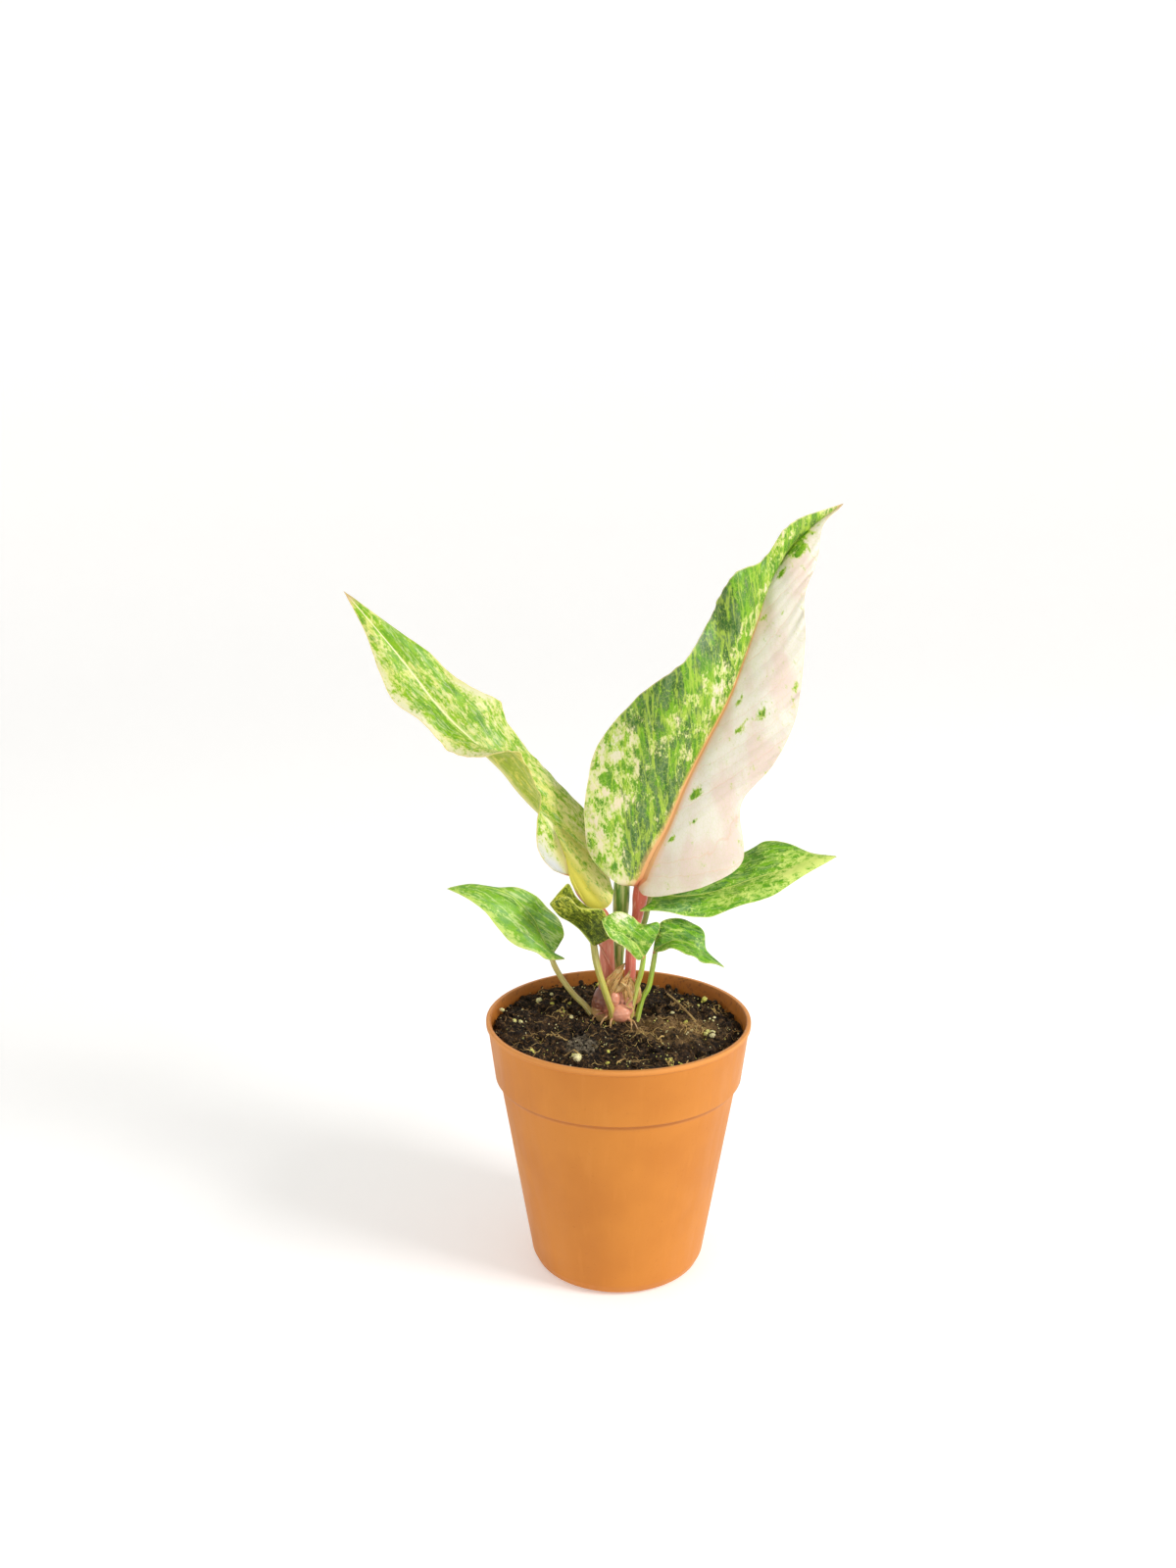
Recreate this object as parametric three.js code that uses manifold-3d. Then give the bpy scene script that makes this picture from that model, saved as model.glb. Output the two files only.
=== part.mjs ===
// A young variegated aroid house plant, with seven leaves and a new one still rolled, in a round
// nursery pot of soft orange plastic. Millimetres, +Z up. The origin is the middle of the pot's
// base, where it rests. +X is to the right and +Y is away from someone who faces the plant.

import * as THREE from 'three';
import { mergeVertices } from 'three/addons/utils/BufferGeometryUtils.js';
import Module from 'manifold-3d';

const wasm = await Module();
wasm.setup();

// Pot: a thin moulded shell with a wide collar under its lip
const RIM_RADIUS = 50;
const POT_HEIGHT = 98.5;
const LIP_HEIGHT = 1.8;
const LIP_OVERHANG = 0.7;
const LIP_ROUND = 0.4;
const COLLAR_BOTTOM = 76;
const COLLAR_RADIUS = 46.7;
const STEP_HEIGHT = 2.6;
const BODY_TOP_RADIUS = 44.7;
const BASE_RADIUS = 33.2;
const BASE_CORNER = 4.5;
const WALL = 1;
const FLOOR = 1.4;
const POT_SIDES = 48;
const DRAIN_HOLES = 8;
const DRAIN_RADIUS = 3;
const DRAIN_RING = 23;
const HOLE_SIDES = 12;

// Soil: lumpy peat that stands a little below the rim, dips to the right and sinks at the wall
const SOIL_LEVEL = 94.2;
const SOIL_EDGE_DROP = 2;
const SOIL_DIP = 0.018;
const SOIL_LUMP = 0.9;
const SOIL_RINGS = 10;
const SOIL_SIDES = 36;
const GRAINS = 22;
const GRAIN_RADIUS = [0.9, 1.7];

// Room between pieces that touch, and room left round a blade where its stalk meets it
const GAP = 0.3;
const BLADE_ROOM = 0.42;

// Leaves: blade thickness, and how far the rib stands out below the blade
const BLADE = 0.8;
const THIN_BLADE = 0.65;
const RIB_WIDTH = 0.07;

const COLOURS = {
  pot: 0xd2803f,
  soil: 0x2e2118,
  crown: 0xc9786a,
  husk: 0xb89a68,
  pinkStalk: 0xd9756a,
  greenStalk: 0xb4c456,
  variegated: 0x8fbf4a,
  cream: 0xe9e6c4,
  deepGreen: 0x4f8f2e,
};

// Solids

function toSolid(geometry) {
  const bare = geometry.clone();
  bare.deleteAttribute('normal');
  bare.deleteAttribute('uv');
  const merged = mergeVertices(bare, 1e-4);
  const corners = merged.index.array;
  const kept = [];
  for (let i = 0; i < corners.length; i += 3) {
    const [a, b, c] = [corners[i], corners[i + 1], corners[i + 2]];
    if (a !== b && b !== c && c !== a) {
      kept.push(a, b, c);
    }
  }
  const mesh = new wasm.Mesh({
    numProp: 3,
    vertProperties: new Float32Array(merged.attributes.position.array),
    triVerts: new Uint32Array(kept),
  });
  return new wasm.Manifold(mesh);
}

function toGeometry(solid) {
  const mesh = solid.getMesh();
  const geometry = new THREE.BufferGeometry();
  geometry.setAttribute('position', new THREE.BufferAttribute(mesh.vertProperties.slice(), 3));
  geometry.setIndex(Array.from(mesh.triVerts));
  return geometry;
}

function largestBody(solid) {
  const bodies = solid.decompose();
  return bodies.reduce((best, body) => (body.volume() > best.volume() ? body : best));
}

function randomFrom(seed) {
  let state = seed;
  return () => {
    state = (state * 1664525 + 1013904223) % 4294967296;
    return state / 4294967296;
  };
}

function curveThrough(points) {
  const corners = points.map(([x, y, z]) => new THREE.Vector3(x, y, z));
  return new THREE.CatmullRomCurve3(corners, false, 'catmullrom', 0.5);
}

// A round stalk that follows a curve, with a radius for each of its points
function stalkSolid({ path, radii, sides = 8, steps = 3 }, swell = 0) {
  const curve = curveThrough(path);
  const thickness = curveThrough(radii.map((r) => [r, 0, 0]));
  const rings = (path.length - 1) * steps;
  const frames = curve.computeFrenetFrames(rings, false);
  const geometry = new THREE.CylinderGeometry(1, 1, 1, sides, rings).rotateX(Math.PI / 2);
  const spots = geometry.attributes.position;
  for (let i = 0; i < spots.count; i += 1) {
    const along = spots.getZ(i) + 0.5;
    const ring = Math.round(along * rings);
    const radius = thickness.getPoint(ring / rings).x + swell;
    const spot = curve.getPointAt(ring / rings);
    spot.addScaledVector(frames.normals[ring], spots.getX(i) * radius);
    spot.addScaledVector(frames.binormals[ring], spots.getY(i) * radius);
    if (ring === 0 || ring === rings) {
      const outward = ring === 0 ? -swell : swell;
      spot.addScaledVector(frames.tangents[ring], outward);
    }
    spots.setXYZ(i, spot.x, spot.y, spot.z);
  }
  return toSolid(geometry);
}

// A leaf blade. Its rib and its two margins are curves through a few points; each half is
// stretched from the rib to the margin, swells a little between them and waves at the margin.
function bladeSolid(leaf, swell = 0) {
  const { rib, left, right, rows, columns, swelling, wave, waves, ribHeight } = leaf;
  const thickness = (leaf.thickness ?? BLADE) + 2 * swell;
  const tip = rib[rib.length - 1];
  const ribCurve = curveThrough(rib);
  const margins = [
    curveThrough([rib[0], ...left, tip]),
    curveThrough([rib[0], ...right, tip]),
  ];
  const spread = [];
  for (let c = -columns; c <= columns; c += 1) {
    const share = Math.abs(c) / columns;
    spread.push(Math.sign(c) * (Math.abs(c) === 1 ? RIB_WIDTH : share));
  }
  const spots = [];
  const ribRise = [];
  const addSpot = (u, v) => {
    const start = ribCurve.getPoint(u);
    const along = ribCurve.getTangent(u);
    const across = margins[v < 0 ? 0 : 1].getPoint(u).sub(start);
    const width = across.length();
    const face = new THREE.Vector3().crossVectors(across, along).normalize();
    if (v < 0) {
      face.negate();
    }
    const reach = Math.abs(v);
    const bulge = swelling * width * 4 * reach * (1 - reach);
    const ends = Math.sin(Math.PI * Math.min(1, Math.max(0, u)));
    const ripple = wave * reach ** 3 * ends * Math.sin(2 * Math.PI * waves * u + (v < 0 ? 1 : 2.4));
    const spot = start.addScaledVector(across, reach * (1 + swell / Math.max(width, 1)));
    spot.addScaledVector(along, 2 * swell * (Number(u === 1) - Number(u === 0)));
    spot.addScaledVector(face, bulge + ripple);
    spots.push(spot);
    ribRise.push(v === 0 ? ribHeight * (1 - 0.75 * u) : 0);
  };
  addSpot(0, 0);
  for (let r = 1; r < rows; r += 1) {
    spread.forEach((v) => addSpot(r / rows, v));
  }
  addSpot(1, 0);

  const width = spread.length;
  const last = spots.length - 1;
  const at = (r, c) => 1 + (r - 1) * width + c;
  const faces = [];
  for (let c = 0; c < width - 1; c += 1) {
    faces.push([0, at(1, c + 1), at(1, c)]);
    faces.push([last, at(rows - 1, c), at(rows - 1, c + 1)]);
    for (let r = 1; r < rows - 1; r += 1) {
      faces.push([at(r, c), at(r, c + 1), at(r + 1, c + 1)]);
      faces.push([at(r, c), at(r + 1, c + 1), at(r + 1, c)]);
    }
  }
  const sheet = new THREE.BufferGeometry().setFromPoints(spots);
  sheet.setIndex(faces.flat());
  sheet.computeVertexNormals();
  const normals = sheet.attributes.normal;
  const outside = [];
  const corners = [];
  for (const side of [1, -1]) {
    spots.forEach((spot, i) => {
      const normal = new THREE.Vector3().fromBufferAttribute(normals, i);
      const rise = side > 0 ? 0.3 * ribRise[i] : ribRise[i];
      outside.push(spot.clone().addScaledVector(normal, side * (thickness / 2 + rise)));
    });
  }
  const under = spots.length;
  for (const [a, b, c] of faces) {
    corners.push(a, b, c, under + a, under + c, under + b);
  }
  const margin = [0];
  for (let r = 1; r < rows; r += 1) {
    margin.push(at(r, width - 1));
  }
  margin.push(last);
  for (let r = rows - 1; r > 0; r -= 1) {
    margin.push(at(r, 0));
  }
  margin.forEach((a, i) => {
    const b = margin[(i + 1) % margin.length];
    corners.push(a, under + a, b, b, under + a, under + b);
  });
  const geometry = new THREE.BufferGeometry().setFromPoints(outside);
  geometry.setIndex(corners);
  return toSolid(geometry);
}

// Pot

function potSolid() {
  const lipBottom = POT_HEIGHT - LIP_HEIGHT;
  const stepBottom = COLLAR_BOTTOM - STEP_HEIGHT;
  const collarTopRadius = RIM_RADIUS - LIP_OVERHANG;
  const outline = [
    [0, 0],
    [BASE_RADIUS - BASE_CORNER, 0],
    [BASE_RADIUS - 0.35 * BASE_CORNER, 0.3 * BASE_CORNER],
    [BASE_RADIUS, BASE_CORNER],
    [BODY_TOP_RADIUS, stepBottom],
    [COLLAR_RADIUS, COLLAR_BOTTOM],
    [collarTopRadius, lipBottom - LIP_ROUND],
    [RIM_RADIUS, lipBottom],
    [RIM_RADIUS, POT_HEIGHT - LIP_ROUND],
    [RIM_RADIUS - LIP_ROUND, POT_HEIGHT],
    [collarTopRadius - WALL + LIP_ROUND, POT_HEIGHT],
    [collarTopRadius - WALL, POT_HEIGHT - LIP_ROUND],
    [COLLAR_RADIUS - WALL, COLLAR_BOTTOM + LIP_ROUND],
    [BODY_TOP_RADIUS - WALL, stepBottom + LIP_ROUND],
    [BASE_RADIUS - WALL, BASE_CORNER + FLOOR],
    [BASE_RADIUS - BASE_CORNER, FLOOR],
    [0, FLOOR],
  ];
  const points = outline.map(([r, z]) => new THREE.Vector2(r, z));
  let pot = toSolid(new THREE.LatheGeometry(points, POT_SIDES).rotateX(Math.PI / 2));
  for (let i = 0; i < DRAIN_HOLES; i += 1) {
    const angle = (2 * Math.PI * (i + 0.5)) / DRAIN_HOLES;
    const hole = new THREE.CylinderGeometry(DRAIN_RADIUS, DRAIN_RADIUS, 3 * FLOOR, HOLE_SIDES);
    hole.rotateX(Math.PI / 2);
    hole.translate(DRAIN_RING * Math.cos(angle), DRAIN_RING * Math.sin(angle), 0);
    pot = pot.subtract(toSolid(hole));
  }
  return pot;
}

// Soil

function soilHeight(x, y) {
  const lumps = Math.sin(0.42 * x + 1.3) * Math.cos(0.37 * y - 0.4)
    + 0.6 * Math.sin(0.83 * x - 0.59 * y + 0.8)
    + 0.4 * Math.cos(1.21 * y + 0.67 * x);
  return SOIL_LEVEL - SOIL_DIP * x + SOIL_LUMP * 0.6 * lumps;
}

function soilSolid() {
  const wallTop = SOIL_LEVEL - SOIL_EDGE_DROP;
  const room = WALL + GAP;
  const rise = (RIM_RADIUS - LIP_OVERHANG - COLLAR_RADIUS) / (POT_HEIGHT - COLLAR_BOTTOM);
  const topRadius = COLLAR_RADIUS + rise * (wallTop - COLLAR_BOTTOM) - room - 0.2;
  const profile = [
    [0, FLOOR + GAP],
    [BASE_RADIUS - BASE_CORNER - GAP, FLOOR + GAP],
    [BASE_RADIUS - room, BASE_CORNER + FLOOR + GAP],
    [BODY_TOP_RADIUS - room, COLLAR_BOTTOM - STEP_HEIGHT + LIP_ROUND + GAP],
    [COLLAR_RADIUS - room - 0.1, COLLAR_BOTTOM + LIP_ROUND + GAP],
    [topRadius, wallTop],
  ];
  for (let ring = SOIL_RINGS; ring > 0; ring -= 1) {
    profile.push([(topRadius * ring) / (SOIL_RINGS + 0.35), SOIL_LEVEL]);
  }
  profile.push([0, SOIL_LEVEL]);
  const points = profile.map(([r, z]) => new THREE.Vector2(r, z));
  const geometry = new THREE.LatheGeometry(points, SOIL_SIDES).rotateX(Math.PI / 2);
  const spots = geometry.attributes.position;
  for (let i = 0; i < spots.count; i += 1) {
    if (spots.getZ(i) > SOIL_LEVEL - 0.01) {
      spots.setZ(i, soilHeight(spots.getX(i), spots.getY(i)));
    }
  }
  return toSolid(geometry);
}

// Cream grains of perlite, half sunk in the soil
function grainSolids() {
  const random = randomFrom(11);
  const grains = [];
  for (let i = 0; i < GRAINS; i += 1) {
    const angle = 2 * Math.PI * random();
    const distance = 12 + 31 * Math.sqrt(random());
    const radius = GRAIN_RADIUS[0] + (GRAIN_RADIUS[1] - GRAIN_RADIUS[0]) * random();
    const grain = new THREE.IcosahedronGeometry(radius, 0).scale(1, 0.8, 0.75);
    grain.rotateZ(2 * Math.PI * random());
    const x = distance * Math.cos(angle);
    const y = distance * Math.sin(angle);
    grain.translate(x, y, soilHeight(x, y) + 0.15 * radius);
    grains.push(toSolid(grain));
  }
  return grains;
}

// Crown: the short thick stem base, with a round bud in front and the feet of the stalks round it,
// and its main roots, most of them deep in the soil and a few that show at its foot
const CROWN_AXIS = [0.5, 8];
const DEEP_ROOTS = 6;
const ROOT_RADII = [1.3, 1.1, 0.8, 0.5];
const SURFACE_ROOTS = [
  [[-2, 5, 97], [-4.5, 2, 97.5], [-6.5, 0.5, 95.5], [-8, -1, 91]],
  [[-1, 4, 96], [-2.5, 1, 97], [-3, -1, 95], [-3, -2, 91]],
  [[3, 4, 95], [5.5, 1.5, 96], [7, 0, 94], [8, -1, 90]],
];
const SURFACE_ROOT_RADII = [0.8, 0.7, 0.6, 0.5];

function lump(centre, radii, swell) {
  const ball = new THREE.SphereGeometry(1, 10, 7).rotateX(Math.PI / 2);
  ball.scale(radii[0] + swell, radii[1] + swell, radii[2] + swell);
  ball.translate(...centre);
  return toSolid(ball);
}

function rootPaths() {
  const random = randomFrom(5);
  const roots = SURFACE_ROOTS.map((path) => ({ path, radii: SURFACE_ROOT_RADII }));
  for (let i = 0; i < DEEP_ROOTS; i += 1) {
    const angle = (2 * Math.PI * (i + 0.5 * random())) / DEEP_ROOTS;
    const reach = 15 + 8 * random();
    const depth = 62 + 12 * random();
    const at = (distance, height) => [
      CROWN_AXIS[0] + distance * Math.cos(angle),
      CROWN_AXIS[1] + distance * Math.sin(angle),
      height,
    ];
    const path = [at(1, 89), at(0.55 * reach, 84), at(0.9 * reach, 75), at(reach, depth)];
    roots.push({ path, radii: ROOT_RADII });
  }
  return roots;
}

function crownSolid(swell = 0) {
  const bud = lump([0.8, 6.5, 97], [5.4, 5, 6], swell);
  const neck = lump([1.2, 7.5, 102], [4.2, 4.4, 6], swell);
  const leftFoot = lump([-5.5, 9.5, 97], [5, 5, 10.5], swell);
  const rightFoot = lump([4.5, 9, 96], [3.8, 4, 8], swell);
  const stump = lump([...CROWN_AXIS, 90], [6.5, 6, 7], swell);
  let crown = bud.add(neck).add(leftFoot).add(rightFoot).add(stump);
  for (const root of rootPaths()) {
    crown = crown.add(stalkSolid({ ...root, sides: 5, steps: 2 }, swell));
  }
  return crown;
}

// Leaves, each with its blade and its stalk

const LEAVES = {
  leaf_tall: {
    rib: [
      [7, 10, 147], [8, 10, 149], [9, 10, 150], [10, 10, 153], [13, 10, 160], [18, 12, 169],
      [24, 14, 184], [32, 18, 200], [40, 22, 215], [46, 27, 230], [52, 33, 246], [56, 38, 258],
      [64, 45, 270], [86, 57, 287],
    ],
    left: [
      [-1, 4, 150], [-10, 2, 160], [-13, 3, 174], [-12, 5, 188], [-7, 7, 203], [8, 9, 221],
      [23, 12, 233], [34, 21, 248], [42, 22, 263], [52, 34, 267], [61, 37, 278], [71, 45, 283],
    ],
    right: [
      [10, 4, 145], [22, 1, 147], [35, 2, 151], [46, 5, 159], [45, 9, 179], [57, 11, 194],
      [64, 14, 208], [67, 19, 223], [69, 26, 239], [69, 32, 254], [74, 39, 267], [77, 47, 279],
    ],
    rows: 28,
    columns: 5,
    swelling: 0.08,
    wave: 1.6,
    waves: 4,
    ribHeight: 1.2,
    colour: COLOURS.variegated,
    stalk: {
      path: [[4, 9, 101], [4.5, 9, 115], [5, 9.5, 126], [7, 10.5, 135], [8, 12, 142], [8, 13, 147]],
      radii: [2.2, 2.1, 2, 2.1, 2.9, 2.2],
      colour: COLOURS.pinkStalk,
    },
  },
  leaf_long: {
    rib: [
      [-17, 11, 150], [-19, 10, 154], [-20, 10, 158], [-22, 10, 163], [-25, 8, 171],
      [-30, 8, 176], [-34, 8, 180], [-38, 7, 185], [-43, 6, 192], [-49, 6, 198], [-55, 6, 204],
      [-61, 6, 210], [-68, 6, 218], [-74, 7, 226], [-81, 8, 235], [-89, 8, 245], [-100, 9, 258],
    ],
    left: [
      [-22, 9, 152], [-26, 7, 155], [-30, 5, 162], [-31, 4, 170], [-30, 2, 178], [-28, -2, 184],
      [-31, -6, 192], [-36, -8, 201], [-42, -9, 202], [-52, -8, 201], [-62, -5, 203],
      [-72, -2, 212], [-82, 1, 219], [-87, 3, 230], [-92, 6, 243],
    ],
    right: [
      [-15, 8, 144], [-11, 7, 139], [-5, 8, 139], [-2, 9, 143], [-4, 13, 151], [-7, 16, 161],
      [-12, 18, 172], [-22, 19, 183], [-32, 19, 195], [-42, 18, 209], [-45, 17, 216],
      [-54, 15, 221], [-62, 14, 227], [-70, 13, 235], [-82, 11, 244],
    ],
    rows: 32,
    columns: 5,
    swelling: 0.07,
    wave: 1.2,
    waves: 4,
    ribHeight: 1.1,
    colour: COLOURS.cream,
    stalk: {
      path: [
        [-4.5, 9, 101], [-4.5, 9.5, 113], [-4.5, 10, 123], [-4, 11, 130], [-6, 12, 135],
        [-10.5, 12.7, 139], [-14, 13, 143], [-17, 12.8, 149],
      ],
      radii: [3.3, 3.1, 2.6, 2, 1.9, 2, 2.1, 1.7],
      colour: COLOURS.pinkStalk,
    },
  },
  leaf_left: {
    rib: [
      [-25.5, 8, 119.5], [-26, 8.5, 120.5], [-27.5, 9, 123], [-29.5, 9, 127], [-32, 9, 133],
      [-35, 8.5, 137.5], [-40, 7.5, 143], [-46.5, 6, 146.5], [-54.5, 4, 148], [-64.5, 2, 148],
    ],
    left: [
      [-20.5, 6, 119], [-26.5, 3, 120], [-31, 1, 123], [-36, 0, 125.5], [-40.5, -1, 128.5],
      [-45, -2, 133.5], [-50, -2, 140.5], [-56, -1, 145],
    ],
    right: [
      [-22.5, 11, 123.5], [-21, 12, 127], [-23, 13, 132.5], [-27, 13, 137], [-31.5, 12, 142],
      [-39, 11, 145.5], [-47, 9, 146.5], [-55.5, 6, 148.5],
    ],
    rows: 14,
    columns: 3,
    swelling: 0.1,
    wave: 0.6,
    waves: 3,
    ribHeight: 0.6,
    colour: COLOURS.deepGreen,
    stalk: {
      path: [
        [-7.5, 8, 91], [-12, 9, 98], [-16.5, 9.5, 102.5], [-20, 9.5, 107], [-22.5, 9.5, 111],
        [-24.5, 9.2, 115], [-25.8, 9, 118.8],
      ],
      radii: [1.2, 1.2, 1.1, 1.1, 1.1, 1.1, 1],
      colour: COLOURS.greenStalk,
    },
  },
  leaf_curled: {
    rib: [
      [-9.5, 2, 125.5], [-10.5, 2, 127.5], [-12, 2, 129.5], [-14, 2, 132], [-16, 1.5, 134],
      [-18.5, 1, 136], [-21.5, 0, 138], [-23.5, -1, 140.5], [-25.5, -3, 144],
    ],
    left: [
      [-4.5, -2, 129.5], [0, -1, 131.5], [-4, -1, 135], [-5.5, -1, 140.5], [-11, -3, 142],
      [-15, -4, 143.5], [-19, -5, 147.5],
    ],
    right: [
      [-7.5, 5.5, 129.5], [-5, 6, 134.5], [-7, 6, 138], [-12, 5, 140.5], [-16, 4, 144.5],
      [-18.5, 3.5, 149.5], [-21, 2, 148.5],
    ],
    rows: 14,
    columns: 3,
    swelling: -0.1,
    wave: 0.5,
    waves: 2,
    ribHeight: 0.6,
    colour: COLOURS.deepGreen,
    stalk: {
      path: [
        [-1.5, 3, 90], [-2.5, 2, 99.5], [-4.5, 1.5, 106], [-7, 1.5, 114], [-8.5, 2, 120],
        [-9.5, 2.5, 126.5],
      ],
      radii: [1.4, 1.3, 1.3, 1.3, 1.4, 1.3],
      colour: COLOURS.greenStalk,
    },
  },
  leaf_pale: {
    rib: [
      [9.5, 1, 121.5], [8, 0, 124.5], [6.5, -1, 127.5], [4, -2, 130], [1, -3, 132.5],
      [-2, -4, 134], [-4.5, -4, 136], [-6.5, -3, 138],
    ],
    left: [
      [7, -1, 121.5], [4.5, -3, 125], [2, -5, 128], [-1, -6, 130], [-3.5, -6, 132],
      [-5.5, -5, 135.5],
    ],
    right: [
      [11.5, 1.5, 125], [15, 2.5, 131.5], [14.5, 3, 135], [9, 3, 134], [5, 2, 137.5],
      [-0.5, 0, 140],
    ],
    rows: 14,
    columns: 3,
    swelling: 0.08,
    wave: 0.4,
    waves: 2,
    ribHeight: 0.5,
    colour: COLOURS.cream,
    stalk: {
      path: [[4.5, 5, 95], [5, 4, 99.5], [7, 3.5, 109], [8.5, 2.5, 115], [9.5, 2, 122]],
      radii: [1.2, 1.1, 1, 1, 0.9],
      colour: COLOURS.greenStalk,
    },
  },
  leaf_right: {
    rib: [
      [13, 6, 121.5], [15, 6, 123.5], [17.5, 6.5, 125], [21, 6.5, 126.5], [24.5, 6, 126],
      [28.5, 5.5, 125], [31, 5, 122.5], [34.5, 4, 120.5], [40, 2, 117.5],
    ],
    left: [
      [14, 9, 126.5], [15.5, 10, 132], [19, 12, 133], [25, 13, 133], [29.5, 13, 130.5],
      [32.5, 11, 127], [33, 8, 122.5],
    ],
    right: [
      [15.5, 3, 123.5], [19, 1, 125], [22.5, 0, 125], [25.5, -1, 124], [28.5, -1, 122],
      [31.5, -1, 121], [35, 0, 120],
    ],
    rows: 14,
    columns: 3,
    swelling: 0.08,
    wave: 0.7,
    waves: 3,
    ribHeight: 0.5,
    colour: COLOURS.deepGreen,
    stalk: {
      path: [[6, 5, 88], [7, 6, 94], [9, 6, 103], [11.5, 6, 108], [13, 6.5, 116], [14, 7, 122.5]],
      radii: [1.3, 1.2, 1.1, 1, 1, 0.9],
      colour: COLOURS.greenStalk,
    },
  },
  leaf_back: {
    rib: [
      [13.5, 15, 144.5], [16.5, 15, 142.5], [21, 15.5, 141], [27, 16, 141], [34.5, 17, 142],
      [43.5, 18, 144.5], [53.5, 19, 148], [64, 20, 151], [73.5, 21, 154], [83.5, 22, 155.5],
    ],
    left: [
      [19.5, 19, 148.5], [25.5, 22, 151], [32.5, 24, 152], [41, 26, 153], [49.5, 28, 156],
      [57, 28, 159.5], [65.5, 27, 159], [74.5, 25, 156],
    ],
    right: [
      [12, 9, 141], [8, 5, 138.5], [16.5, 6, 138], [25.5, 8, 136.5], [35, 10, 135],
      [46, 12, 138.5], [58.5, 14, 142.5], [70.5, 18, 149],
    ],
    rows: 18,
    columns: 4,
    swelling: 0.08,
    wave: 0.8,
    waves: 3,
    ribHeight: 0.8,
    colour: COLOURS.deepGreen,
    stalk: {
      path: [
        [2, 15, 92], [3, 15.5, 103], [4.5, 16, 113.5], [7, 16, 123.5], [10, 16.5, 131],
        [11.5, 17, 138.5], [13.5, 17, 143.5],
      ],
      radii: [1.4, 1.3, 1.2, 1.2, 1.1, 1.2, 1.1],
      colour: COLOURS.greenStalk,
    },
  },
};

// The newest leaf, still rolled into a spindle between the two pink stalks
const NEW_LEAF = {
  path: [
    [0, 13, 101], [0, 14.5, 113.5], [0.5, 15.5, 127], [1, 16, 140.5], [1.5, 17, 154], [3, 18, 164],
  ],
  radii: [1.6, 1.9, 2.6, 3.3, 2.4, 0.5],
};

// Dry papery sheaths that once wrapped the stalks
const HUSKS = {
  husk_pointed: {
    rib: [[-3, 3, 105], [-0.5, 2.5, 108.5], [1.5, 3, 111.5], [4, 3.5, 115.5]],
    left: [[-3.5, 4, 109.5], [-0.5, 4, 113]],
    right: [[0, 2, 107], [2.5, 3, 111]],
    rows: 6,
    columns: 2,
  },
  husk_folded: {
    rib: [[5, 3.5, 102], [6, 3, 106], [6.5, 3.5, 109.5], [6.5, 4.5, 112.5]],
    left: [[3, 3, 105], [3, 4, 109.5]],
    right: [[8.5, 4, 106], [8.5, 5, 109.5]],
    rows: 6,
    columns: 2,
  },
};

const plant = new THREE.Group();

function addPiece(name, solid, colour, roughness = 0.6) {
  const material = new THREE.MeshStandardMaterial({ color: colour, roughness, metalness: 0 });
  const mesh = new THREE.Mesh(toGeometry(solid), material);
  mesh.name = name;
  plant.add(mesh);
}

addPiece('pot', potSolid(), COLOURS.pot, 0.55);

let soil = soilSolid();
for (const grain of grainSolids()) {
  soil = soil.add(grain);
}
soil = soil.subtract(crownSolid(GAP));
let crown = crownSolid();
const husks = [];

for (const [name, leaf] of Object.entries(LEAVES)) {
  const room = stalkSolid(leaf.stalk, GAP);
  soil = soil.subtract(room);
  crown = crown.subtract(room);
  const stalk = largestBody(stalkSolid(leaf.stalk).subtract(bladeSolid(leaf, BLADE_ROOM)));
  addPiece(name, bladeSolid(leaf), leaf.colour, 0.45);
  addPiece(`${name}_stalk`, stalk, leaf.stalk.colour);
}

const newLeafRoom = stalkSolid(NEW_LEAF, GAP);
crown = crown.subtract(newLeafRoom);
soil = soil.subtract(newLeafRoom);
addPiece('new_leaf', stalkSolid(NEW_LEAF), COLOURS.greenStalk);

for (const [name, husk] of Object.entries(HUSKS)) {
  const sheet = { ...husk, thickness: THIN_BLADE, swelling: 0.2, wave: 0, waves: 0, ribHeight: 0 };
  let piece = bladeSolid(sheet).subtract(crownSolid(GAP));
  for (const leaf of Object.values(LEAVES)) {
    piece = piece.subtract(stalkSolid(leaf.stalk, GAP));
  }
  addPiece(name, largestBody(piece), COLOURS.husk, 0.8);
}

addPiece('crown', largestBody(crown), COLOURS.crown);
addPiece('soil', largestBody(soil), COLOURS.soil, 0.95);

export default plant;
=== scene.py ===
# %% [markdown]
# This lesson dresses a young variegated aroid, a house plant in a soft plastic nursery pot. The plain
# solids come first, as a frame that is already the right size. Every piece made here goes where the
# frame says, so nothing is fitted by eye afterwards.

import math
import random

import bmesh
import bpy
from mathutils import Matrix, Vector, noise


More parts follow.
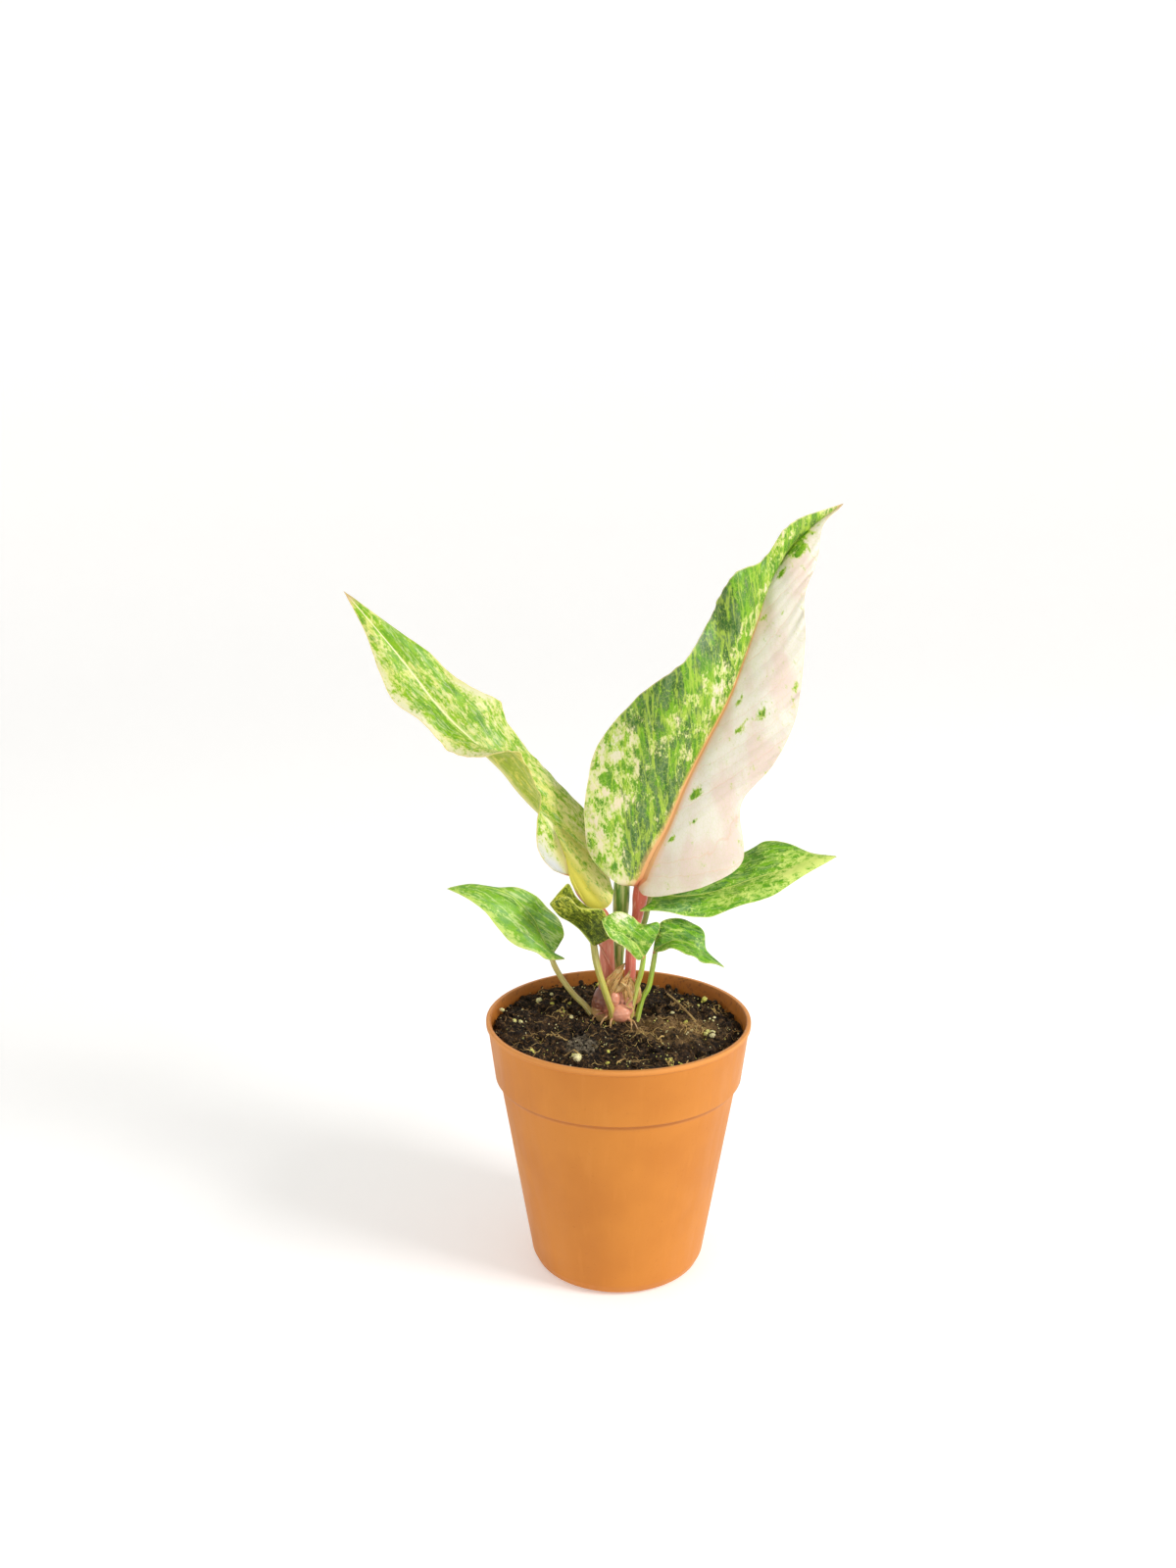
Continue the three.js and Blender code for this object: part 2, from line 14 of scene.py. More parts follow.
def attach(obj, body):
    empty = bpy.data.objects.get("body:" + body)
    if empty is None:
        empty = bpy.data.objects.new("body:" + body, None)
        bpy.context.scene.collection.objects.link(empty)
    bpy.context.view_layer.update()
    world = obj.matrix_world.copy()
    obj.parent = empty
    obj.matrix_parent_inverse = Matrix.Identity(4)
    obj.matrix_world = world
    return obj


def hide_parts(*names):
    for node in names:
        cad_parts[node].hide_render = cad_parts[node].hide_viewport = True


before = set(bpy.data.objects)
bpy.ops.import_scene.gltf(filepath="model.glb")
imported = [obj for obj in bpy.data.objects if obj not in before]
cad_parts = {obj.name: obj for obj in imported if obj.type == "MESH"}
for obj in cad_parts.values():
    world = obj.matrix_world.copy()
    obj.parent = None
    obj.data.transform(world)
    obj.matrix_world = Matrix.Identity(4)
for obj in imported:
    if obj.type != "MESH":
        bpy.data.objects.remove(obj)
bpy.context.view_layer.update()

# %% [markdown]
# The camera stands half a metre in front of the pot and looks a little down on it. Its place was
# worked out from the ellipses of the pot's rim and collar, which fix the height, the distance and
# the tilt of a lens better than any guess.

# %% Camera
CAMERA_PLACE = (0, -0.521, 0.3136)
CAMERA_DOWN = math.radians(13.466)
CAMERA_LEFT = math.radians(1.264)
FOCAL_PIXELS = 1500
IMAGE_HEIGHT = 1600


def linked(name, data):
    """Puts an object that holds this data into the scene."""
    thing = bpy.data.objects.new(name, data)
    bpy.context.scene.collection.objects.link(thing)
    return thing


lens = bpy.data.cameras.new("camera")
lens.sensor_fit = "VERTICAL"
lens.sensor_height = 36
lens.lens = lens.sensor_height * FOCAL_PIXELS / IMAGE_HEIGHT
camera = linked("camera", lens)
camera.location = CAMERA_PLACE
camera.rotation_euler = (math.pi / 2 - CAMERA_DOWN, 0, CAMERA_LEFT)
bpy.context.scene.camera = camera
print("camera lens, mm:", lens.lens)

# %% [markdown]
# A bright, soft studio: an even white sky, a soft panel high on the right as the key, and a wider,
# faint one on the left that keeps the shadows open. Panels this large give the leaves broad, gentle
# highlights, where a small lamp would give hard white dots.

# %% Light
def soft_panel(name, place, target, size, power):
    """A square area light that faces a point."""
    light = bpy.data.lights.new(name, "AREA")
    light.size = size
    light.energy = power
    panel = linked(name, light)
    panel.location = place
    panel.rotation_euler = (Vector(target) - Vector(place)).to_track_quat("-Z", "Y").to_euler()


PLANT_MIDDLE = (0, 0, 0.16)
soft_panel("key_light", (1.15, -0.55, 0.95), PLANT_MIDDLE, 0.5, 16.5)
soft_panel("fill_light", (-1.0, -0.7, 0.7), PLANT_MIDDLE, 0.8, 1)

sky = bpy.data.worlds.new("sky")
sky.use_nodes = True
sky.node_tree.nodes["Background"].inputs["Color"].default_value = (1, 0.99, 0.97, 1)
sky.node_tree.nodes["Background"].inputs["Strength"].default_value = 0.42
bpy.context.scene.world = sky
bpy.context.scene.view_settings.view_transform = "Standard"

# %% [markdown]
# Finishes are small networks of shader nodes. A helper that adds a node, fills in its inputs and
# wires the ones that are given as sockets keeps every recipe below short enough to read. Colours
# are written as the eight-bit values that a paint program shows, and turned into linear light here.

# %% Helpers for finishes
def paint(red, green, blue):
    """A colour given as eight-bit values, as linear light."""
    shares = [value / 255 for value in (red, green, blue)]
    linear = [s / 12.92 if s <= 0.04045 else ((s + 0.055) / 1.055) ** 2.4 for s in shares]
    return (*linear, 1)


class Finish:
    """A material, the colour it has so far, and short ways to add nodes to it."""

    def __init__(self, name, roughness, **settings):
        self.material = bpy.data.materials.new(name)
        self.material.use_nodes = True
        self.tree = self.material.node_tree
        self.surface = self.tree.nodes["Principled BSDF"]
        for socket, value in {"Roughness": roughness, **settings}.items():
            self.surface.inputs[socket.replace("_", " ")].default_value = value

    def add(self, kind, inputs, output=0, **settings):
        """Adds a node, sets or wires its inputs, and returns one of its outputs."""
        node = self.tree.nodes.new(kind)
        for key, value in settings.items():
            setattr(node, key, value)
        for key, value in inputs.items():
            if isinstance(value, bpy.types.NodeSocket):
                self.tree.links.new(value, node.inputs[key])
            else:
                node.inputs[key].default_value = value
        return node.outputs[output]

    def attribute(self, name, output="Vector"):
        return self.add("ShaderNodeAttribute", {}, output, attribute_name=name)

    def place(self):
        return self.add("ShaderNodeTexCoord", {}, "Object")

    def stretched(self, vector, scale, shift=(0, 0, 0)):
        return self.add("ShaderNodeMapping", {"Vector": vector, "Scale": scale, "Location": shift})

    def turned(self, axis, scale):
        """The object's own place, scaled, and turned so that an axis points along Z."""
        turn = Vector(axis).rotation_difference((0, 0, 1)).to_euler()
        inputs = {"Vector": self.place(), "Scale": (scale, scale, scale), "Rotation": turn}
        return self.add("ShaderNodeMapping", inputs)

    def split(self, vector):
        return self.add("ShaderNodeSeparateXYZ", {0: vector}).node.outputs

    def noise(self, vector, scale, detail=4, roughness=0.55, distortion=0):
        inputs = {"Vector": vector, "Scale": scale, "Detail": detail, "Roughness": roughness,
                  "Distortion": distortion}
        return self.add("ShaderNodeTexNoise", inputs)

    def cells(self, vector, scale, feature="F1"):
        return self.add("ShaderNodeTexVoronoi", {"Vector": vector, "Scale": scale}, feature=feature)

    def sum(self, first, second, operation="ADD"):
        return self.add("ShaderNodeMath", {0: first, 1: second}, operation=operation)

    def times(self, first, second):
        return self.sum(first, second, "MULTIPLY")

    def apart(self, value, middle):
        """How far a value lies from a middle one, either way."""
        return self.sum(self.sum(value, -middle), 0, "ABSOLUTE")

    def sway(self, pattern, amount):
        """A pattern of 0 to 1 as a push to and fro, by half the amount at most."""
        return self.times(self.sum(pattern, -0.5), amount)

    def fade(self, value, low, high, start=0, end=1):
        """Goes smoothly from start to end while the value goes from low to high."""
        inputs = {"Value": value, "From Min": low, "From Max": high, "To Min": start, "To Max": end}
        return self.add("ShaderNodeMapRange", inputs, interpolation_type="SMOOTHSTEP")

    def mix(self, share, first, second):
        """Blends two colours, which may be sockets or eight-bit values."""
        first, second = [paint(*end) if isinstance(end, tuple) else end for end in (first, second)]
        return self.add("ShaderNodeMix", {0: share, 6: first, 7: second}, 2, data_type="RGBA")

    def coat(self, share, colour):
        """Lays another colour over the one so far."""
        self.colour = self.mix(share, self.colour, colour)

    def fade_in(self, value, low, high, colour, most=1):
        """Lays on another colour, more and more, while the value goes from low to high."""
        self.coat(self.fade(value, low, high, 0, most), colour)

    def bump(self, height, distance, strength, normal=None):
        """A bump from a height of 0 to 1, which stands for a distance in metres."""
        inputs = {"Height": height, "Distance": distance, "Strength": strength}
        if normal:
            inputs["Normal"] = normal
        return self.add("ShaderNodeBump", inputs)

    def wire(self, **sockets):
        """Wires the colour so far, and what else is given, to the surface."""
        for socket, value in {"Base Color": self.colour, **sockets}.items():
            self.tree.links.new(value, self.surface.inputs[socket])
        return self.material


# %% [markdown]
# All lengths below are millimetres, the unit a gardener would measure a small pot in. A piece is
# scaled to metres once, when its shape is finished and becomes an object.

# %% Helpers for shapes
MM = 0.001


def points(rows):
    return [Vector(row) for row in rows]


def curve_at(path, share):
    """The point at a share of a smooth curve that passes evenly through all the path's points."""
    spans = len(path) - 1
    place = min(max(share, 0), 1) * spans
    i = min(int(place), spans - 1)
    s = place - i
    b = path[i]
    c = path[i + 1]
    a = path[i - 1] if i > 0 else b * 2 - c
    d = path[i + 2] if i + 2 <= spans else c * 2 - b
    turn = (c - a) * s + (a * 2 - b * 5 + c * 4 - d) * s**2 + (b * 3 - a - c * 3 + d) * s**3
    return b + turn * 0.5


def smooth(value, low, high):
    """0 below low, 1 above high, and a smooth change between."""
    s = min(max((value - low) / (high - low), 0), 1)
    return s * s * (3 - 2 * s)


def spun(profile, steps):
    """A profile in the XZ plane, spun round the upright axis; its ends on the axis close it."""
    shape = bmesh.new()
    corners = [shape.verts.new((reach, 0, height)) for reach, height in profile]
    edges = [shape.edges.new(pair) for pair in zip(corners, corners[1:])]
    bmesh.ops.spin(shape, geom=corners + edges, axis=(0, 0, 1), cent=(0, 0, 0), angle=math.tau,
                   steps=steps, use_merge=True)
    bmesh.ops.remove_doubles(shape, verts=shape.verts, dist=1e-4)
    bmesh.ops.recalc_face_normals(shape, faces=shape.faces)
    return shape


def mesh_of(name, shape, scale=1):
    """Turns a shape into a mesh, scaled, and frees the shape."""
    bmesh.ops.scale(shape, vec=(scale, scale, scale), verts=shape.verts)
    mesh = bpy.data.meshes.new(name)
    shape.to_mesh(mesh)
    shape.free()
    return mesh


def finished_piece(name, shape, finish, replaces, sharp):
    """Makes a shape in millimetres an object in metres that rides on the frame."""
    mesh = mesh_of(name, shape, MM)
    mesh.shade_smooth()
    mesh.set_sharp_from_angle(angle=math.radians(sharp))
    mesh.materials.append(finish)
    piece = linked(name, mesh)
    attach(piece, "root")
    if replaces:
        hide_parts(*replaces)
    print(name, "faces:", len(mesh.polygons))
    return piece


def tube(shape, path, radii, sides, steps, section=None):
    """Rolls a grid up into a closed tube along a curve, and notes each corner's place on it."""
    straight = shape.verts.layers.float_vector.get("straight")
    if straight is None:
        straight = shape.verts.layers.float_vector.new("straight")
    count = (len(path) - 1) * steps
    thickness = [Vector((radius, 0, 0)) for radius in radii]
    stations = []
    side = None
    length = 0
    for i in range(count + 1):
        spot = curve_at(path, i / count)
        tangent = (curve_at(path, i / count + 0.01) - curve_at(path, i / count - 0.01)).normalized()
        side = tangent.orthogonal() if side is None else side - tangent * side.dot(tangent)
        side.normalize()
        if stations:
            length += (spot - stations[-1][0]).length
        radius = curve_at(thickness, i / count).x
        stations.append((spot, side.copy(), tangent.cross(side), radius, length))
    grid = bmesh.ops.create_grid(shape, x_segments=sides, y_segments=count + 2, size=0.5)
    for vertex in grid["verts"]:
        turn = (vertex.co.x + 0.5) * math.tau
        ring = round((vertex.co.y + 0.5) * (count + 2)) - 1
        spot, side, other, radius, length = stations[min(max(ring, 0), count)]
        if ring < 0 or ring > count:
            radius = 0
        elif section:
            radius *= section(turn, ring / count)
        offset = side * math.cos(turn) * radius + other * math.sin(turn) * radius
        vertex[straight] = (math.cos(turn) * radius, math.sin(turn) * radius, length)
        vertex.co = spot + offset
    bmesh.ops.remove_doubles(shape, verts=grid["verts"], dist=1e-4)


# %% [markdown]
# The floor is a wide shallow bowl: flat under the pot and rising all round, far outside the
# camera's ring, so that no horizon shows from any side. Its profile is given in metres.

# %% Floor
FLOOR_PROFILE = [(0, 0), (1.5, 0), (1.9, 0.03), (2.2, 0.13), (2.45, 0.32), (2.6, 0.6), (2.65, 1),
                 (2.65, 2)]

studio = spun(FLOOR_PROFILE, 96)
studio.normal_update()
if sum(face.normal.z for face in studio.faces) < 0:
    bmesh.ops.reverse_faces(studio, faces=studio.faces)
floor_finish = Finish("pale_floor", 0.8, Base_Color=(0.9, 0.895, 0.885, 1),
                      Emission_Color=(1, 0.995, 0.985, 1), Emission_Strength=0.28)
studio_floor = linked("studio_floor", mesh_of("studio_floor", studio))
studio_floor.data.shade_smooth()
studio_floor.data.materials.append(floor_finish.material)

# %% [markdown]
# The pot is injection moulded in thin polypropylene: a tapered body, a small step, a wide plain
# collar and a thin rolled lip. It could be carved from a cylinder, but it was born on a lathe-like
# mould, so a profile spun round the axis is the honest way. A bevel then rounds its moulded edges.

# %% Pot
RIM_RADIUS = 50
POT_HEIGHT = 98.5
LIP_HEIGHT = 1.8
LIP_OVERHANG = 0.7
COLLAR_BOTTOM = 76
COLLAR_RADIUS = 46.7
STEP_HEIGHT = 2.6
STEP_UNDERCUT = 1.1
BODY_TOP_RADIUS = 44.7
BASE_RADIUS = 33.2
BASE_CORNER = 4.5
WALL = 1
POT_FLOOR = 1.4
LIP_ROUND = 0.4
DRAIN_HOLES = 8
DRAIN_RADIUS = 3
DRAIN_RING = 23

step_bottom = COLLAR_BOTTOM - STEP_HEIGHT
collar_top = RIM_RADIUS - LIP_OVERHANG
pot_profile = [
    (0, 0),
    (BASE_RADIUS - BASE_CORNER, 0),
    (BASE_RADIUS - 0.35 * BASE_CORNER, 0.3 * BASE_CORNER),
    (BASE_RADIUS, BASE_CORNER),
    (BODY_TOP_RADIUS, step_bottom),
    (COLLAR_RADIUS - STEP_UNDERCUT, COLLAR_BOTTOM - 0.5 * STEP_UNDERCUT),
    (COLLAR_RADIUS, COLLAR_BOTTOM),
    (collar_top, POT_HEIGHT - LIP_HEIGHT - LIP_ROUND),
    (RIM_RADIUS, POT_HEIGHT - LIP_HEIGHT),
    (RIM_RADIUS, POT_HEIGHT),
    (collar_top - WALL, POT_HEIGHT),
    (COLLAR_RADIUS - WALL, COLLAR_BOTTOM + LIP_ROUND),
    (BODY_TOP_RADIUS - WALL, step_bottom + LIP_ROUND),
    (BASE_RADIUS - WALL, BASE_CORNER + POT_FLOOR),
    (BASE_RADIUS - BASE_CORNER, POT_FLOOR),
    (0, POT_FLOOR),
]


pot_shape = spun(pot_profile, 192)
folds = [edge for edge in pot_shape.edges
         if len(edge.link_faces) == 2 and edge.calc_face_angle() > 0.2]
bmesh.ops.bevel(pot_shape, geom=folds, offset=0.3, offset_type="OFFSET", segments=3, profile=0.5,
                affect="EDGES", material=-1, clamp_overlap=True)
print("pot corners after the bevel:", len(pot_shape.verts))


# %% [markdown]
# Soft polypropylene looks like satin: a dull sheen, a slightly uneven skin from the mould and faint
# rubbed streaks down the wall. Each of those is one noise at its own size. The lip is lighter, partly
# from the whitening of bent plastic and partly as painted light glowing through it. A painted shade
# line lies under the collar's edge, and the inside of the wall is darker and browner, with specks of
# dust; height and distance from the axis find these.

# %% Pot finish
def pot_plastic():
    finish = Finish("pot_plastic", 0.46, Specular_IOR_Level=0.26)
    place = finish.place()
    x, y, height = finish.split(place)
    cloud = finish.noise(place, 28, 3)
    streak = finish.noise(finish.stretched(place, (1, 1, 0.08)), 260, 4)
    speck = finish.noise(place, 900, 3)
    finish.colour = finish.mix(finish.fade(cloud, 0.35, 0.65), (194, 119, 41), (202, 127, 46))
    finish.fade_in(streak, 0.52, 0.75, (214, 142, 66), 0.2)
    finish.fade_in(speck, 0.62, 0.75, (170, 94, 32), 0.25)
    # The lip is lighter: partly the whitening of bent plastic, partly painted light glowing through it.
    lip_whitening_and_glow = finish.fade(height, (POT_HEIGHT - 2.2) * MM, (POT_HEIGHT - 0.6) * MM, 0, 0.45)
    finish.coat(lip_whitening_and_glow, (230, 158, 88))
    # Painted shade: a dark line under the collar's edge, where the collar's shadow falls.
    collar_shade_line = finish.apart(height, (COLLAR_BOTTOM - 1.1) * MM)
    finish.fade_in(collar_shade_line, 0.0014, 0.0001, (156, 84, 28), 0.6)
    # The inside of the collar's wall is made darker and browner, with specks of dust over it.
    radius = finish.sum(finish.sum(finish.sum(x, 2, "POWER"), finish.sum(y, 2, "POWER")), 0.5, "POWER")
    wall_middle = finish.fade(height, COLLAR_BOTTOM * MM, POT_HEIGHT * MM)
    wall_middle = finish.times(wall_middle, (collar_top - COLLAR_RADIUS) * MM)
    wall_middle = finish.sum(wall_middle, (COLLAR_RADIUS - 0.5 * WALL) * MM)
    inner = finish.fade(finish.sum(radius, wall_middle, "SUBTRACT"), 0.0001, -0.0003)
    in_collar = finish.fade(height, (COLLAR_BOTTOM + 2) * MM, (COLLAR_BOTTOM + 4) * MM)
    inner = finish.times(inner, in_collar)
    finish.coat(finish.times(inner, 0.5), (150, 80, 26))
    dust = finish.fade(finish.noise(place, 500, 5, 0.7), 0.52, 0.64, 0, 0.45)
    finish.coat(finish.times(dust, inner), (88, 58, 34))
    rough = finish.fade(streak, 0.3, 0.7, 0.42, 0.54)
    skin = finish.bump(finish.noise(place, 420, 3), 0.00008, 0.5)
    skin = finish.bump(cloud, 0.0006, 0.12, skin)
    return finish.wire(Roughness=rough, Normal=skin)


pot = finished_piece("nursery_pot", pot_shape, pot_plastic(), ["pot"], 50)


def applied(thing):
    """A mesh of an object as its modifiers leave it."""
    return bpy.data.meshes.new_from_object(thing.evaluated_get(bpy.context.evaluated_depsgraph_get()))


def drill_drain_holes(piece):
    """Cuts the ring of drain holes through the base."""
    bits = bmesh.new()
    for i in range(DRAIN_HOLES):
        angle = math.tau * (i + 0.5) / DRAIN_HOLES
        spot = (DRAIN_RING * math.cos(angle), DRAIN_RING * math.sin(angle), 0)
        bmesh.ops.create_cone(bits, cap_ends=True, segments=40, radius1=DRAIN_RADIUS,
                              radius2=DRAIN_RADIUS, depth=4 * POT_FLOOR, matrix=Matrix.Translation(spot))
    tool = linked("drill_bits", mesh_of("drill_bits", bits, MM))
    cut = piece.modifiers.new("drain_holes", "BOOLEAN")
    cut.operation = "DIFFERENCE"
    cut.solver = "EXACT"
    cut.object = tool
    piece.data = applied(piece)
    piece.modifiers.clear()
    bpy.data.objects.remove(tool)
    print("pot faces after drilling:", len(piece.data.polygons))


drill_drain_holes(pot)

# %% [markdown]
# The soil is peat with grains of perlite, filled to just under the rim. Its body is spun like the
# pot, and the top is then raised by a height that depends only on the place: the same lumps as in
# the frame, and over them finer crumbs from fractal noise.

# %% Soil body
SOIL_LEVEL = 94.2
SOIL_EDGE_DROP = 2
SOIL_DIP = 0.018
SOIL_LUMP = 0.9
SOIL_RINGS = 84
SOIL_SIDES = 216
HOLLOW = (12.2, 14)
HOLLOW_REACH = 3.2
HOLLOW_DEPTH = 3.4
GAP = 0.3


def surface_height(x, y):
    """The frame's own broad lumps, and over them fine lumps of peat."""
    broad = (math.sin(0.42 * x + 1.3) * math.cos(0.37 * y - 0.4)
             + 0.6 * math.sin(0.83 * x - 0.59 * y + 0.8)
             + 0.4 * math.cos(1.21 * y + 0.67 * x))
    spot = Vector((x, y, 3.7))
    lumps = noise.noise(spot * 0.13) + 0.6 * noise.noise(spot * 0.24)
    clods = noise.fractal(spot * 0.3, 0.9, 2.2, 4)
    nearest = noise.voronoi(spot * 0.55)[0][0]
    fine = noise.fractal(spot * 1.3 + Vector((9, 4, 1)), 0.8, 2.1, 4)
    rough = 1.5 * lumps + 1.05 * clods + 0.9 * (0.5 - nearest) + 0.45 * fine
    hollow = math.hypot(x - HOLLOW[0], y - HOLLOW[1]) / HOLLOW_REACH
    level = SOIL_LEVEL - SOIL_DIP * x + SOIL_LUMP * 0.6 * broad
    return level + (rough - HOLLOW_DEPTH * math.exp(-(hollow**4)))


wall_top = SOIL_LEVEL - SOIL_EDGE_DROP
room = WALL + GAP
rise = (collar_top - COLLAR_RADIUS) / (POT_HEIGHT - COLLAR_BOTTOM)
soil_radius = COLLAR_RADIUS + rise * (wall_top - COLLAR_BOTTOM) - room
soil_profile = [
    (0, POT_FLOOR + GAP),
    (BASE_RADIUS - BASE_CORNER - GAP, POT_FLOOR + GAP),
    (BASE_RADIUS - room, BASE_CORNER + POT_FLOOR + GAP),
    (BODY_TOP_RADIUS - room, step_bottom + LIP_ROUND + GAP),
    (COLLAR_RADIUS - room, COLLAR_BOTTOM + LIP_ROUND + GAP),
    (soil_radius, wall_top - 1),
]
for ring in range(SOIL_RINGS, -1, -1):
    soil_profile.append((soil_radius * ring / (SOIL_RINGS + 0.2), SOIL_LEVEL))

soil_shape = spun(soil_profile, SOIL_SIDES)
for vertex in soil_shape.verts:
    if vertex.co.z > SOIL_LEVEL - 0.01:
        x, y = vertex.co.xy
        edge = smooth(math.hypot(x, y), soil_radius - 5, soil_radius)
        vertex.co.z = surface_height(x, y) - SOIL_EDGE_DROP * edge * 0.6
print("soil corners:", len(soil_shape.verts))


# %% [markdown]
# Wet peat is almost black, with rusty brown fibres and dry grey-brown spots. It has no shine at all
# except for a faint glint where it is wet, so the roughness stays near one. On one spot at the front
# a grey mould has spread over the fibres, and on the right the peat has dried to a lighter brown.

# %% Peat finish
GREY_SPOT = (-13, -19)
DRY_SPOT = (22, -2)


def oval(finish, x, y, centre, reach):
    """Grows from 0 at the middle of an oval to 1 at its edge, in the object's own place."""
    across = finish.sum(finish.sum(x, -centre[0] * MM), reach[0] * MM, "DIVIDE")
    away = finish.sum(finish.sum(y, -centre[1] * MM), reach[1] * MM, "DIVIDE")
    return finish.sum(finish.sum(across, 2, "POWER"), finish.sum(away, 2, "POWER"))


def peat():
    finish = Finish("dark_peat", 0.92, Specular_IOR_Level=0.25)
    place = finish.place()
    patch = finish.noise(place, 90, 4)
    grain = finish.noise(place, 700, 6, 0.7)
    x, y = finish.split(place)[:2]
    finish.colour = finish.mix(finish.fade(patch, 0.4, 0.65), (20, 14, 9), (44, 31, 20))
    dry = oval(finish, x, y, DRY_SPOT, (19, 15))
    dry = finish.times(finish.fade(dry, 1.2, 0.1), finish.fade(patch, 0.3, 0.58))
    dry = finish.times(dry, finish.fade(grain, 0.4, 0.54, 0.15, 0.9))
    finish.coat(dry, (164, 130, 84))
    finish.fade_in(grain, 0.5, 0.6, (88, 64, 38))
    finish.fade_in(grain, 0.61, 0.68, (158, 126, 78))
    finish.fade_in(grain, 0.45, 0.36, (12, 8, 6))
    fibre = finish.noise(finish.stretched(place, (1, 0.35, 1)), 1500, 3, 0.6, 1.5)
    finish.fade_in(fibre, 0.6, 0.68, (140, 106, 62), 0.6)
    mould = oval(finish, x, y, GREY_SPOT, (6.5, 11))
    mould = finish.sum(mould, finish.fade(patch, 0.3, 0.7, 0.6, -0.6))
    mould = finish.times(finish.fade(mould, 1.1, 0.2, 0, 0.8), finish.fade(grain, 0.4, 0.6))
    finish.coat(mould, (138, 128, 108))
    return finish.wire(Normal=finish.bump(grain, 0.0006, 0.9))


peat_finish = peat()
finished_piece("soil_body", soil_shape, peat_finish, ["soil"], 180)

# %% [markdown]
# Loose crumbs lie on the soil and break its skin. Each is a small ball with its corners pushed
# about, dropped at a seeded random place, so the same crumbs come out every time.

# %% Crumbs
CRUMBS = 900
FLATNESS = 0.8


def pebble(shape, x, y, lift, size, draw, subdivisions):
    """A rough grain on the soil: a ball whose corners are pushed about, turned at random."""
    spot = Vector((x, y, surface_height(x, y) + lift))
    turn = Matrix.Rotation(draw.uniform(0, math.tau), 4, Vector((draw.gauss(0, 1), draw.gauss(0, 1), 1)))
    grain = bmesh.ops.create_icosphere(shape, subdivisions=subdivisions, radius=1)
    stretch = Vector((draw.uniform(0.75, 1.3), draw.uniform(0.75, 1.3), FLATNESS))
    for vertex in grain["verts"]:
        push = 1 + draw.uniform(-0.22, 0.22)
        vertex.co = spot + turn @ (vertex.co * push * stretch) * size


def scatter(draw):
    """A random place on the soil, evenly spread over its face."""
    reach = math.sqrt(draw.uniform(0, 1)) * (soil_radius - 1)
    turn = draw.uniform(0, math.tau)
    return reach * math.cos(turn), reach * math.sin(turn)


crumb_draw = random.Random(3)
crumbs = bmesh.new()
for i in range(CRUMBS):
    x, y = scatter(crumb_draw)
    size = 0.35 + 1.2 * crumb_draw.random() ** 3
    pebble(crumbs, x, y, 0.25 * size, size, crumb_draw, 2 if size > 0.8 else 1)
finished_piece("soil_crumbs", crumbs, peat_finish, [], 35)

# %% [markdown]
# Perlite is puffed volcanic glass: pale, chalky, full of pits. The frame already holds a seeded set
# of grains, and the same simple random rule puts them in the same places here. The largest grains
# on the real soil are listed one by one, each with its place and radius, and then small clusters, each
# with its middle and reach.

# %% Perlite
GRAINS = 22
CLUSTER_GRAINS = 12
DUST_GRAINS = 330
GRAIN_RING = (12, 43)
GRAIN_RADIUS = (0.9, 1.7)
SEEN_GRAINS = [(-31.4, 23.7, 1.4), (-45, 10.3, 0.9), (-39.6, 2.6, 0.9), (-37.2, 3, 0.9),
               (-34.7, -15, 1.1), (-31.2, -26.4, 1), (-14.6, -32.8, 1.7), (-15.6, -31.2, 1.1),
               (-7.8, -41, 1), (-9.6, -39.8, 0.8), (-6.2, -41.6, 0.8), (27.8, -1.6, 1),
               (34, -3.3, 1.4), (35.4, -5.6, 1.2), (33, -5.4, 0.9), (35.1, -8.9, 1.2), (34.2, 28.2, 1.1)]
GRAIN_CLUSTERS = [(-20.7, 9.7, 2.2), (31, 0, 3.5), (28, 24, 3), (19, -33, 1.5)]


def seeded(seed):
    """The same simple stream of random numbers that places the frame's grains."""
    state = seed
    while True:
        state = (state * 1664525 + 1013904223) % 4294967296
        yield state / 4294967296


grain_draw = random.Random(8)
stream = seeded(11)
perlite = bmesh.new()
for i in range(GRAINS):
    angle = math.tau * next(stream)
    distance = GRAIN_RING[0] + (GRAIN_RING[1] - GRAIN_RING[0]) * math.sqrt(next(stream))
    radius = GRAIN_RADIUS[0] + (GRAIN_RADIUS[1] - GRAIN_RADIUS[0]) * next(stream)
    next(stream)
    x, y = distance * math.cos(angle), distance * math.sin(angle)
    pebble(perlite, x, y, 0.1 * radius, 0.55 * radius, grain_draw, 3)
for x, y, radius in SEEN_GRAINS:
    pebble(perlite, x, y, 0.3 * radius, radius, grain_draw, 3)
for middle_x, middle_y, reach in GRAIN_CLUSTERS:
    for i in range(CLUSTER_GRAINS):
        x, y = grain_draw.gauss(middle_x, reach), grain_draw.gauss(middle_y, reach)
        pebble(perlite, x, y, 0.3, grain_draw.uniform(0.25, 0.6), grain_draw, 2)
for i in range(DUST_GRAINS):
    x, y = scatter(grain_draw)
    pebble(perlite, x, y, 0.3, grain_draw.uniform(0.12, 0.34), grain_draw, 1)


def perlite_finish():
    finish = Finish("perlite", 0.85)
    place = finish.place()
    cloud = finish.noise(place, 120, 3)
    pit = finish.noise(place, 1500, 4, 0.7)
    finish.colour = finish.mix(finish.fade(cloud, 0.4, 0.6), (248, 240, 184), (228, 226, 104))
    finish.fade_in(pit, 0.52, 0.42, (150, 122, 70), 0.55)
    return finish.wire(Normal=finish.bump(pit, 0.0004, 0.8))


finished_piece("perlite_grains", perlite, perlite_finish(), [], 180)

# %% [markdown]
# Coir fibres, straws and dead root hairs lie across the peat, thickest in a few dry tufts. Each is a
# thin tube along a short bent curve, a little above the soil. Strands this thin need only five sides.
# A kind gives its count, shortest length, thinnest and thickest radius, bend and lift; a tuft gives
# its middle, reach and count.

